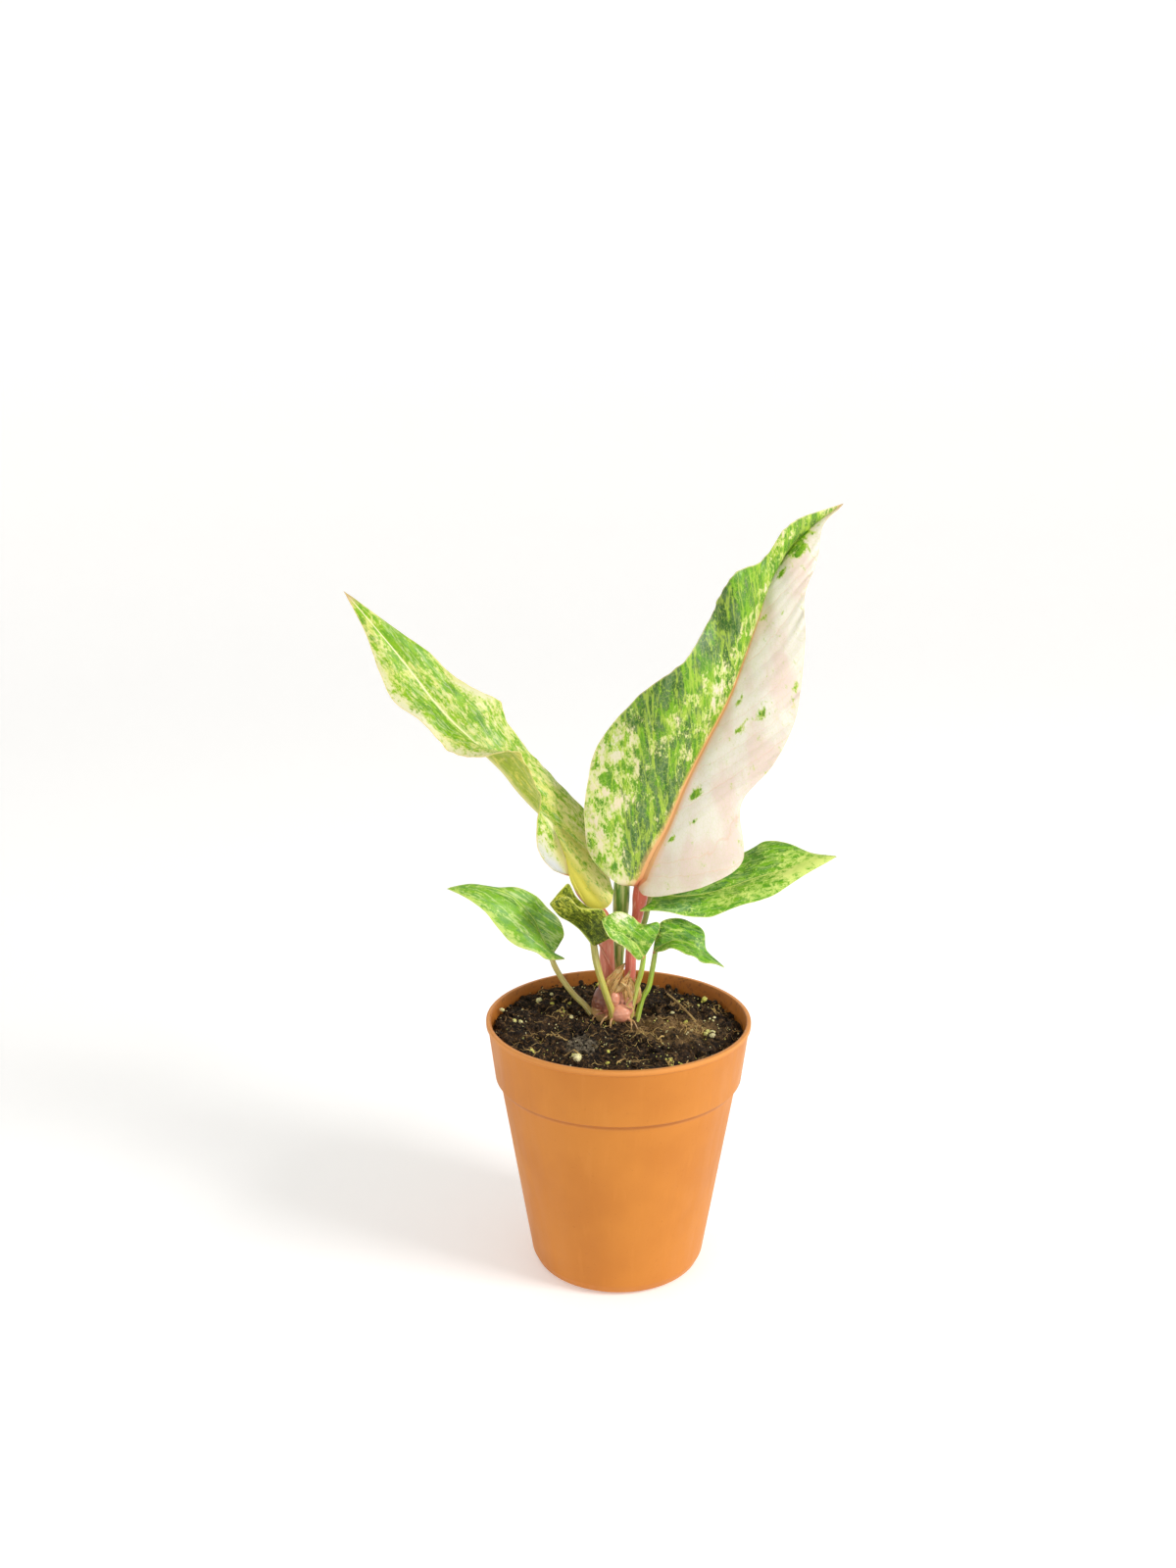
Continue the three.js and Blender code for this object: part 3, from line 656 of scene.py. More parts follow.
# %% Fibres and straws
STRAND_KINDS = [(170, 1, 0.04, 0.1, 0.6, 0.35), (40, 2, 0.12, 0.3, 0.25, 0.5)]
TUFTS = [(-20.7, 8, 4, 20), (-26.7, -12, 4, 16), (-31, -25, 3, 10), (7.5, -3.5, 2.6, 26),
         (6, -32, 3.5, 14), (19, -36, 2, 10), (29, 1, 6, 36), (38, 19, 4, 18), (26, 22, 4, 14)]


def strand(shape, draw, x, y, length, radius, bend, lift):
    """A thin bent strand that lies on the soil."""
    turn = draw.uniform(0, math.tau)
    path = []
    for i in range(5):
        z = surface_height(x, y) + lift + draw.uniform(0, 0.5)
        path.append(Vector((x, y, z)))
        turn += draw.uniform(-bend, bend)
        step = length / 4
        x += step * math.cos(turn)
        y += step * math.sin(turn)
        if math.hypot(x, y) > soil_radius - 1:
            turn += math.pi / 2
            x, y = x * 0.9, y * 0.9
    tube(shape, path, [radius, radius * 1.1, radius, radius * 0.9, radius * 0.5], 5, 3)


fibre_draw = random.Random(21)
fibres = bmesh.new()
for count, shortest, thinnest, thickest, bend, lift in STRAND_KINDS:
    for i in range(count):
        x, y = scatter(fibre_draw)
        length, radius = fibre_draw.uniform(shortest, 6), fibre_draw.uniform(thinnest, thickest)
        strand(fibres, fibre_draw, x, y, length, radius, bend, lift)
tuft_draw = random.Random(5)
for middle_x, middle_y, reach, count in TUFTS:
    for i in range(count):
        x, y = tuft_draw.gauss(middle_x, reach / 2), tuft_draw.gauss(middle_y, reach / 2)
        length, radius = tuft_draw.uniform(1.5, 6), tuft_draw.uniform(0.05, 0.14)
        if math.hypot(x, y) < soil_radius - 2:
            strand(fibres, tuft_draw, x, y, length, radius, 0.22, 0.5)
long_straw = points([(19.4, 27.9, 96.6), (22.5, 19, 97.2), (26, 10, 96.8), (29.4, 1.3, 96.2)])
tube(fibres, long_straw, [0.35, 0.4, 0.4, 0.3], 8, 5)


def straw_finish():
    finish = Finish("straw", 0.7)
    place = finish.place()
    tone = finish.noise(place, 60, 2)
    fleck = finish.noise(place, 900, 3)
    finish.colour = finish.mix(finish.fade(tone, 0.35, 0.65), (122, 90, 50), (214, 178, 108))
    finish.fade_in(fleck, 0.5, 0.7, (84, 56, 34), 0.5)
    return finish.wire(Normal=finish.bump(fleck, 0.0002, 0.6))


finished_piece("soil_fibres", fibres, straw_finish(), [], 60)

# %% [markdown]
# The crown is the short stem that everything grows from: a pink bud in front, the swollen feet of
# the stalks, and brown scars where old leaves sat. Grown shapes have no seams, so the balls and
# roots that rough it out are fused by a voxel remesh and then smoothed like clay.

# %% Crown
CROWN_AXIS = (0.5, 8)
CROWN_BALLS = [
    ((0.8, 7.2, 97), (5, 4.6, 6)),
    ((1.2, 7.5, 102), (4.2, 4.4, 6)),
    ((-5.5, 9.5, 97), (5, 5, 10.5)),
    ((4.5, 9, 96), (3.8, 4, 8)),
    ((*CROWN_AXIS, 90), (6.5, 6, 7)),
    ((-1.6, 3.3, 104.3), (2.2, 2.2, 3.2)),
    ((0.9, 2.8, 98.4), (3.8, 3, 3.8)),
    ((4.2, 4.2, 101.5), (2, 2, 4.5)),
]
SURFACE_ROOTS = [
    [(-2, 5, 97), (-4.5, 2, 97.5), (-6.5, 0.5, 95.5), (-8, -1, 91)],
    [(-1, 4, 96), (-2.5, 1, 97), (-3, -1, 95), (-3, -2, 91)],
    [(3, 4, 95), (5.5, 1.5, 96), (7, 0, 94), (8, -1, 90)],
    [(3.5, 3, 96), (4.6, 0.5, 96.6), (5, -1.4, 95.4), (4.6, -2.4, 91)],
    [(-4, 4, 98), (-7, 2, 98.6), (-9.5, 2.6, 96.6), (-10.5, 3, 92)],
]
SURFACE_ROOT_RADII = [0.6, 0.5, 0.42, 0.35]
VOXEL = 0.3
FUSING_ROUNDS = 4
SOFTENING_ROUNDS = 14
WRINKLE = 0.16


def soften(shape, rounds):
    """Pulls every corner toward its neighbours, round after round."""
    for i in range(rounds):
        bmesh.ops.smooth_vert(shape, verts=shape.verts, factor=0.5, use_axis_x=True, use_axis_y=True,
                              use_axis_z=True)


def fused(shape):
    """Fuses overlapping closed shapes into one skin with a voxel remesh, and smooths it."""
    body = linked("fused", mesh_of("fused", shape))
    remesh = body.modifiers.new("remesh", "REMESH")
    remesh.mode = "VOXEL"
    remesh.voxel_size = VOXEL
    skin = bmesh.new()
    skin.from_mesh(applied(body))
    soften(skin, FUSING_ROUNDS)
    bpy.data.objects.remove(body)
    return skin


crown_rough = bmesh.new()
for centre, radii in CROWN_BALLS:
    matrix = Matrix.Translation(centre) @ Matrix.Diagonal((*radii, 1))
    bmesh.ops.create_icosphere(crown_rough, subdivisions=4, radius=1, matrix=matrix)
for path in SURFACE_ROOTS:
    tube(crown_rough, points(path), SURFACE_ROOT_RADII, 10, 5)
crown_shape = fused(crown_rough)
crown_shape.normal_update()
hollows = crown_shape.verts.layers.float.new("hollows")
kept_places = [vertex.co.copy() for vertex in crown_shape.verts]
soften(crown_shape, SOFTENING_ROUNDS)
for vertex, kept in zip(crown_shape.verts, kept_places):
    softened = vertex.co.copy()
    vertex.co = kept
    vertex[hollows] = (softened - kept).dot(vertex.normal)
    wrinkle = noise.fractal(Vector((kept.x * 0.5, kept.y * 0.5, kept.z * 1.1)), 0.8, 2, 4)
    vertex.co += vertex.normal * WRINKLE * wrinkle
print("crown corners:", len(crown_shape.verts))


# %% [markdown]
# The bud's skin is young and glossy pink; the older feet are duller and brown-red, and the roots
# are tan. Height and distance from the bud choose between them, with noise to fray the borders.
# How far each corner lies below a softened copy of the shape finds the creases, which are painted
# dark brown as shade.

# %% Crown finish
def crown_skin():
    finish = Finish("crown_skin", 0.28, Subsurface_Weight=0.12, Subsurface_Scale=0.002,
                    Subsurface_Radius=(1, 0.4, 0.3))
    place = finish.place()
    x, y, z = finish.split(place)
    hollow = finish.attribute("hollows", "Fac")
    cloud = finish.noise(place, 260, 4)
    pink = finish.mix(cloud, (250, 186, 154), (212, 126, 94))
    brown = finish.mix(finish.noise(place, 500, 4), (92, 50, 34), (158, 94, 68))
    leftward = finish.sum(x, finish.sway(cloud, 0.008))
    finish.colour = finish.mix(finish.fade(leftward, -0.0025, -0.006), pink, brown)
    finish.fade_in(leftward, 0.0042, 0.0062, brown)
    backward = finish.sum(y, finish.sway(cloud, 0.008))
    finish.fade_in(backward, 0.006, 0.009, brown)
    # Painted shade: the creases are made dark brown.
    finish.fade_in(hollow, 0.02, 0.16, (104, 54, 34), 0.8)
    low = finish.sum(z, finish.sway(cloud, 0.006))
    finish.fade_in(low, 0.0974, 0.0946, (184, 144, 96))
    aside = finish.apart(x, 0.0009)
    root = finish.fade(aside, 0.0032, 0.004)
    finish.coat(finish.times(root, finish.fade(low, 0.0988, 0.0974)), (190, 150, 96))
    line = finish.noise(finish.stretched(place, (1, 1, 3)), 420, 3)
    finish.fade_in(line, 0.58, 0.7, (236, 186, 150), 0.4)
    return finish.wire(Normal=finish.bump(line, 0.0003, 0.4))


finished_piece("crown_body", crown_shape, crown_skin(), ["crown"], 180)

# %% [markdown]
# Each leaf has a rib and two margins, given as a few points that a pencil line would pass through.
# The same points shape the frame's plain leaves, so the fine leaves land exactly on them.

# %% Leaf outlines
LEAVES = {
    "leaf_tall": {
        "swelling": 0.08, "wave": 1.6, "waves": 4,
        "rib": [(7, 10, 147), (8, 10, 149), (9, 10, 150), (10, 10, 153), (13, 10, 160), (18, 12, 169),
            (24, 14, 184), (32, 18, 200), (40, 22, 215), (46, 27, 230), (52, 33, 246), (56, 38, 258),
            (64, 45, 270), (86, 57, 287)],
        "left": [(-1, 4, 150), (-10, 2, 160), (-13, 3, 174), (-12, 5, 188), (-7, 7, 203), (8, 9, 221),
            (23, 12, 233), (34, 21, 248), (42, 22, 263), (52, 34, 267), (61, 37, 278), (71, 45, 283)],
        "right": [(10, 4, 145), (22, 1, 147), (35, 2, 151), (46, 5, 159), (45, 9, 179), (57, 11, 194),
            (64, 14, 208), (67, 19, 223), (69, 26, 239), (69, 32, 254), (74, 39, 267), (77, 47, 279)],
        "stalk": [(4, 9, 101), (4.5, 9, 115), (5, 9.5, 126), (7, 10.5, 135), (8, 12, 142),
            (8, 13, 147)],
        "stalk_radii": [2.2, 2.1, 2, 2.1, 2.9, 2.2],
    },
    "leaf_long": {
        "swelling": 0.07, "wave": 1.2, "waves": 4,
        "rib": [(-17, 11, 150), (-19, 10, 154), (-20, 10, 158), (-22, 10, 163), (-25, 8, 171),
            (-30, 8, 176), (-34, 8, 180), (-38, 7, 185), (-43, 6, 192), (-49, 6, 198), (-55, 6, 204),
            (-61, 6, 210), (-68, 6, 218), (-74, 7, 226), (-81, 8, 235), (-89, 8, 245),
            (-100, 9, 258)],
        "left": [(-22, 9, 152), (-26, 7, 155), (-30, 5, 162), (-31, 4, 170), (-30, 2, 178),
            (-28, -2, 184), (-31, -6, 192), (-36, -8, 201), (-42, -9, 202), (-52, -8, 201),
            (-62, -5, 203), (-72, -2, 212), (-82, 1, 219), (-87, 3, 230), (-92, 6, 243)],
        "right": [(-15, 8, 144), (-11, 7, 139), (-5, 8, 139), (-2, 9, 143), (-4, 13, 151),
            (-7, 16, 161), (-12, 18, 172), (-22, 19, 183), (-32, 19, 195), (-42, 18, 209),
            (-45, 17, 216), (-54, 15, 221), (-62, 14, 227), (-70, 13, 235), (-82, 11, 244)],
        "stalk": [(-4.5, 9, 101), (-4.5, 9.5, 113), (-4.5, 10, 123), (-4, 11, 130), (-6, 12, 135),
            (-10.5, 12.7, 139), (-14, 13, 143), (-17, 12.8, 149)],
        "stalk_radii": [3.3, 3.1, 2.6, 2, 1.9, 2, 2.1, 1.7],
    },
    "leaf_left": {
        "swelling": 0.1, "wave": 0.6, "waves": 3,
        "rib": [(-25.5, 8, 119.5), (-26, 8.5, 120.5), (-27.5, 9, 123), (-29.5, 9, 127), (-32, 9, 133),
            (-35, 8.5, 137.5), (-40, 7.5, 143), (-46.5, 6, 146.5), (-54.5, 4, 148), (-64.5, 2, 148)],
        "left": [(-20.5, 6, 119), (-26.5, 3, 120), (-31, 1, 123), (-36, 0, 125.5), (-40.5, -1, 128.5),
            (-45, -2, 133.5), (-50, -2, 140.5), (-56, -1, 145)],
        "right": [(-22.5, 11, 123.5), (-21, 12, 127), (-23, 13, 132.5), (-27, 13, 137),
            (-31.5, 12, 142), (-39, 11, 145.5), (-47, 9, 146.5), (-55.5, 6, 148.5)],
        "stalk": [(-7.5, 8, 91), (-12, 9, 98), (-16.5, 9.5, 102.5), (-20, 9.5, 107),
            (-22.5, 9.5, 111), (-24.5, 9.2, 115), (-25.8, 9, 118.8)],
        "stalk_radii": [1.2, 1.2, 1.1, 1.1, 1.1, 1.1, 1],
    },
    "leaf_curled": {
        "swelling": -0.1, "wave": 0.5, "waves": 2,
        "rib": [(-9.5, 2, 125.5), (-10.5, 2, 127.5), (-12, 2, 129.5), (-14, 2, 132), (-16, 1.5, 134),
            (-18.5, 1, 136), (-21.5, 0, 138), (-23.5, -1, 140.5), (-25.5, -3, 144)],
        "left": [(-4.5, -2, 129.5), (0, -1, 131.5), (-4, -1, 135), (-5.5, -1, 140.5), (-11, -3, 142),
            (-15, -4, 143.5), (-19, -5, 147.5)],
        "right": [(-7.5, 5.5, 129.5), (-5, 6, 134.5), (-7, 6, 138), (-12, 5, 140.5), (-16, 4, 144.5),
            (-18.5, 3.5, 149.5), (-21, 2, 148.5)],
        "stalk": [(-1.5, 3, 90), (-2.5, 2, 99.5), (-4.5, 1.5, 106), (-7, 1.5, 114), (-8.5, 2, 120),
            (-9.5, 2.5, 126.5)],
        "stalk_radii": [1.4, 1.3, 1.3, 1.3, 1.4, 1.3],
    },
    "leaf_pale": {
        "swelling": 0.08, "wave": 0.4, "waves": 2,
        "rib": [(9.5, 1, 121.5), (8, 0, 124.5), (6.5, -1, 127.5), (4, -2, 130), (1, -3, 132.5),
            (-2, -4, 134), (-4.5, -4, 136), (-6.5, -3, 138)],
        "left": [(7, -1, 121.5), (4.5, -3, 125), (2, -5, 128), (-1, -6, 130), (-3.5, -6, 132),
            (-5.5, -5, 135.5)],
        "right": [(11.5, 1.5, 125), (15, 2.5, 131.5), (14.5, 3, 135), (9, 3, 134), (5, 2, 137.5),
            (-0.5, 0, 140)],
        "stalk": [(4.5, 5, 95), (5, 4, 99.5), (7, 3.5, 109), (8.5, 2.5, 115), (9.5, 2, 122)],
        "stalk_radii": [1.2, 1.1, 1, 1, 0.9],
    },
    "leaf_right": {
        "swelling": 0.08, "wave": 0.7, "waves": 3,
        "rib": [(13, 6, 121.5), (15, 6, 123.5), (17.5, 6.5, 125), (21, 6.5, 126.5), (24.5, 6, 126),
            (28.5, 5.5, 125), (31, 5, 122.5), (34.5, 4, 120.5), (40, 2, 117.5)],
        "left": [(14, 9, 126.5), (15.5, 10, 132), (19, 12, 133), (25, 13, 133), (29.5, 13, 130.5),
            (32.5, 11, 127), (33, 8, 122.5)],
        "right": [(15.5, 3, 123.5), (19, 1, 125), (22.5, 0, 125), (25.5, -1, 124), (28.5, -1, 122),
            (31.5, -1, 121), (35, 0, 120)],
        "stalk": [(6, 5, 88), (7, 6, 94), (9, 6, 103), (11.5, 6, 108), (13, 6.5, 116),
            (14, 7, 122.5)],
        "stalk_radii": [1.3, 1.2, 1.1, 1, 1, 0.9],
    },
    "leaf_back": {
        "swelling": 0.08, "wave": 0.8, "waves": 3,
        "rib": [(13.5, 15, 144.5), (16.5, 15, 142.5), (21, 15.5, 141), (27, 16, 141), (34.5, 17, 142),
            (43.5, 18, 144.5), (53.5, 19, 148), (64, 20, 151), (73.5, 21, 154), (83.5, 22, 155.5)],
        "left": [(19.5, 19, 148.5), (25.5, 22, 151), (32.5, 24, 152), (41, 26, 153), (49.5, 28, 156),
            (57, 28, 159.5), (65.5, 27, 159), (74.5, 25, 156)],
        "right": [(12, 9, 141), (8, 5, 138.5), (16.5, 6, 138), (25.5, 8, 136.5), (35, 10, 135),
            (46, 12, 138.5), (58.5, 14, 142.5), (70.5, 18, 149)],
        "stalk": [(2, 15, 92), (3, 15.5, 103), (4.5, 16, 113.5), (7, 16, 123.5), (10, 16.5, 131),
            (11.5, 17, 138.5), (13.5, 17, 143.5)],
        "stalk_radii": [1.4, 1.3, 1.2, 1.2, 1.1, 1.2, 1.1],
    },
}


# %% [markdown]
# A leaf stalk is a slightly flattened rod with a swollen knee under the blade, which lets the leaf
# turn to the light. A grid rolled into a tube along the frame's own curve makes it, and the note of
# each corner's place on the straight tube lets the finish run streaks along the bend. A strip of
# skin that has come loose from the long leaf's stalk lies across it as a thin ridge.

# %% Stalk finish
def stalk_skin(name, low, middle, high, streak, length):
    """A stalk's colour from its foot to its blade, with fine streaks along it."""
    finish = Finish(name, 0.36, Subsurface_Weight=0.1, Subsurface_Scale=0.0015)
    straight = finish.attribute("straight")
    along = finish.split(straight)[2]
    lines = finish.noise(finish.stretched(straight, (1.6, 1.6, 0.1)), 1.2, 4, 0.6)
    blotch = finish.noise(finish.stretched(straight, (1, 1, 0.35)), 0.5, 3)
    place = finish.sum(along, finish.sway(blotch, length * 0.5))
    finish.colour = finish.mix(finish.fade(place, 0, length * 0.45), low, middle)
    finish.fade_in(place, length * 0.5, length, high)
    finish.fade_in(lines, 0.52, 0.68, streak, 0.65)
    speck = finish.cells(finish.stretched(straight, (1, 1, 0.45)), 1.1)
    finish.fade_in(speck, 0.2, 0.12, streak, 0.35)
    return finish.wire(Normal=finish.bump(lines, 0.00025, 0.6))


STALK_FINISHES = {
    "leaf_tall": ((228, 132, 112), (226, 118, 100), (214, 100, 72), (246, 184, 160)),
    "leaf_long": ((206, 116, 92), (230, 136, 112), (222, 98, 54), (248, 190, 162)),
    "leaf_left": ((176, 156, 88), (194, 182, 98), (206, 192, 112), (226, 216, 156)),
    "leaf_curled": ((206, 170, 90), (196, 190, 84), (186, 178, 92), (222, 214, 140)),
    "leaf_pale": ((206, 178, 104), (196, 208, 96), (166, 200, 70), (226, 224, 150)),
    "leaf_right": ((190, 200, 90), (170, 206, 70), (168, 196, 72), (216, 226, 140)),
    "leaf_back": ((176, 190, 104), (182, 206, 120), (180, 204, 112), (214, 226, 160)),
}


def petiole_section(turn, share):
    """A shallow groove along one side of a round stalk."""
    groove = math.exp(-(((turn - math.pi) / 0.5) ** 2))
    return 1 - 0.12 * groove + 0.02 * math.sin(7 * turn)


# %% Stalks
LOOSE_STRIP = [(-7.4, 6.6, 125), (-5.6, 5.7, 121.5), (-3.8, 5.6, 118), (-2.2, 6, 114)]

for name, leaf in LEAVES.items():
    stalk_shape = bmesh.new()
    if name == "leaf_long":
        tube(stalk_shape, points(LOOSE_STRIP), [0.3, 0.6, 0.65, 0.4], 10, 8)
    tube(stalk_shape, points(leaf["stalk"]), leaf["stalk_radii"], 26, 14, petiole_section)
    straight = stalk_shape.verts.layers.float_vector["straight"]
    last = max(vertex[straight][2] for vertex in stalk_shape.verts)
    skin = stalk_skin(f"{name}_stalk_skin", *STALK_FINISHES[name], last)
    finished_piece(f"{name}_petiole", stalk_shape, skin, [f"{name}_stalk"], 60)

# %% [markdown]
# The newest leaf is still rolled up like a cigar between the two pink stalks. Its section is a
# spiral: the radius grows once round and steps back at the free edge, which shows as a fine seam.

# %% New leaf
NEW_LEAF_PATH = [(0, 13, 101), (0, 14.5, 113.5), (0.5, 15.5, 127), (1, 16, 140.5), (1.5, 17, 154),
                 (3, 18, 164)]
NEW_LEAF_RADII = [1.6, 1.9, 2.6, 3.3, 2.4, 0.5]


def rolled_section(turn, share):
    """One turn of a spiral, with the free edge as a small step that winds round the roll."""
    place = (turn / math.tau + 0.12 + 0.5 * share) % 1
    edge = smooth(place, 0, 0.04)
    return 0.9 + 0.12 * place * edge + 0.1 * (1 - edge)


rolled = bmesh.new()
tube(rolled, points(NEW_LEAF_PATH), NEW_LEAF_RADII, 72, 20, rolled_section)


def rolled_leaf_skin():
    finish = Finish("rolled_leaf", 0.38)
    straight = finish.attribute("straight")
    along = finish.split(straight)[2]
    lines = finish.noise(finish.stretched(straight, (1, 1, 0.08)), 0.9, 5, 0.65)
    patch = finish.noise(finish.stretched(straight, (0.4, 0.4, 0.08)), 1, 3)
    finish.colour = finish.mix(finish.fade(lines, 0.42, 0.6), (128, 172, 62), (206, 216, 130))
    finish.fade_in(patch, 0.55, 0.62, (96, 148, 46))
    finish.fade_in(along, 14, 3, (216, 140, 104))
    return finish.wire(Normal=finish.bump(lines, 0.0003, 0.6))


finished_piece("rolled_new_leaf", rolled, rolled_leaf_skin(), ["new_leaf"], 35)

# %% [markdown]
# A blade is a sheet stretched between the rib and two margins. A grid gives the corners; each one
# knows its share along the leaf and its share across a half, and is moved to its place. The halves
# swell a little between rib and margin, the margin waves, and the skin puffs up between the side
# veins. Doing this by formula, and not by sculpting, keeps the leaf on the frame's own leaf.

# %% Blade shape
def leaf_rows(leaf):
    """For each row of a blade: the rib's point and direction, both margins, and the ways travelled."""
    rib = points(leaf["rib"])
    margins = [points([leaf["rib"][0], *leaf[half], leaf["rib"][-1]]) for half in ("left", "right")]
    found = []
    ways = Vector((0, 0, 0))
    for r in range(leaf["rows"] + 1):
        u = r / leaf["rows"]
        start = curve_at(rib, u)
        along = (curve_at(rib, u + 0.001) - curve_at(rib, u - 0.001)).normalized()
        edges = [curve_at(margin, u) for margin in margins]
        if found:
            before = found[-1]
            steps = [start - before[0], edges[0] - before[2][0], edges[1] - before[2][1]]
            ways = ways + Vector([step.length for step in steps])
        found.append((start, along, edges, ways))
    return found


def ways_at(rows, share):
    """The ways travelled along the rib and both margins at a share of the leaf."""
    place = share * (len(rows) - 1)
    i = min(max(int(place), 0), len(rows) - 2)
    return rows[i][3] + (rows[i + 1][3] - rows[i][3]) * (place - i)


PATCH_STRENGTH = 1.6
PATCH_END = 6
FULLEST_GREEN = 1.1
FULLEST_DEEP = 0.78
CROWDING = 1.3
EDGE_THICKNESS = 0.12
BODY_THICKNESS = 0.22
UPPER_RISE = 0.35


def patch_sum(patches, u, v):
    """What soft oval patches add at a place on a blade: green, deep green, pink and gold."""
    total = [0, 0, 0, 0]
    for place_u, place_v, reach_u, reach_v, *amounts in patches:
        distance = ((u - place_u) / reach_u) ** 2 + ((v - place_v) / reach_v) ** 2
        if distance < PATCH_END:
            weight = math.exp(-distance)
            for i, amount in enumerate(amounts):
                total[i] += PATCH_STRENGTH * weight * amount
    return total


def blade_shape(leaf):
    """A leaf blade as a closed thin shell, with notes on its corners for the finish."""
    rows_found = leaf_rows(leaf)
    shape = bmesh.new()
    notes = shape.verts.layers.float_vector
    flow, place, marbling, tint = [notes.new(name) for name in ("flow", "place", "marbling", "tint")]
    rise = shape.verts.layers.float.new("rise")
    half_thickness = shape.verts.layers.float.new("half_thickness")
    bmesh.ops.create_grid(shape, x_segments=2 * leaf["columns"], y_segments=leaf["rows"], size=0.5)
    for vertex in shape.verts:
        x = 2 * vertex.co.x
        v = math.copysign(abs(x) ** CROWDING, x)
        r = round((vertex.co.y + 0.5) * leaf["rows"])
        u = r / leaf["rows"]
        start, along, edges = rows_found[r][:3]
        across = edges[0 if v < 0 else 1] - start
        width = across.length
        face = across.cross(along).normalized() * (-1 if v < 0 else 1)
        reach = abs(v)
        ends = math.sin(math.pi * u)
        phase = 1 if v < 0 else 2.4
        bulge = leaf["swelling"] * width * 4 * reach * (1 - reach)
        ripple = leaf["wave"] * reach**3 * ends * math.sin(math.tau * leaf["waves"] * u + phase)
        swept = ways_at(rows_found, u - leaf["sweep"] * reach**1.5)
        travelled = swept.dot((0.5, 0.25, 0.25))
        own_way = swept[0] + (swept[1 if v < 0 else 2] - swept[0]) * reach
        vein_phase = travelled / leaf["vein_gap"] + (0.5 if v < 0 else 0)
        window = smooth(reach * width, 0.5, 5) * smooth((1 - reach) * width, 0, 4)
        puff = -leaf["puff"] * window * math.cos(math.tau * vein_phase)
        spot_flow = Vector((own_way, v * width, leaf["seed"] * 10)) * 0.1
        rumple = leaf["rumple"] * noise.noise(spot_flow * 0.9) * smooth(reach * width, 0, 6)
        curly = noise.noise(Vector((travelled * 0.28, leaf["seed"], v)))
        frill = leaf["frill"] * reach**6 * ends * curly
        vertex.co = start + across * reach + face * (bulge + ripple + puff + rumple + frill)
        rib_half = leaf["rib_half"] * (1 - 0.9 * u**0.4)
        rib_share = reach * width / rib_half
        field = leaf["field"][0 if v < 0 else 1]
        more = patch_sum(leaf["patches"], u, v)
        green, deep, blush, gold = [base + added for base, added in zip(field, more)]
        vertex[flow] = spot_flow
        vertex[place] = (rib_share, (1 - reach) * width, u)
        vertex[marbling] = (min(green, FULLEST_GREEN), min(deep, FULLEST_DEEP), blush)
        vertex[tint] = (gold, 0, vein_phase)
        vertex[rise] = leaf["rib_rise"] * (1 - 0.7 * u) * math.exp(-(rib_share**2) * 0.7)
        inward = smooth((1 - reach) * width, 0, 1.5)
        vertex[half_thickness] = EDGE_THICKNESS + (BODY_THICKNESS - EDGE_THICKNESS) * inward
    bmesh.ops.remove_doubles(shape, verts=shape.verts, dist=1e-4)
    shape.normal_update()
    facing = notes.new("facing")
    for vertex in shape.verts:
        vertex[facing] = vertex.normal
    upper_count = len(shape.verts)
    bmesh.ops.solidify(shape, geom=shape.faces, thickness=0.01)
    for i, vertex in enumerate(shape.verts):
        upper = i < upper_count
        shift = vertex[half_thickness] + vertex[rise] * (UPPER_RISE if upper else 1)
        vertex.co += vertex[facing] * (shift if upper else -shift)
        vertex[tint].y = 0 if upper else 1
    return shape


# %% [markdown]
# Variegation is a patchwork of cells with and without green. Here it runs along the leaf in streaks
# and flecks. The recipe stacks layers over a cream ground: a pale wash, bright green flecks, deep
# green blotches, light streaks and the pale veins. How much of each shows comes from the notes on
# the blade's corners, and solid noise, drawn out along the leaf, frays every border. Solid noise
# runs right through the blade, as the cells do, so both faces match and no fold stretches it.

# %% Leaf finish
LEVEL_GAIN = 0.36
CENTIMETRES = 100
VEIN_WIDTH = 0.05


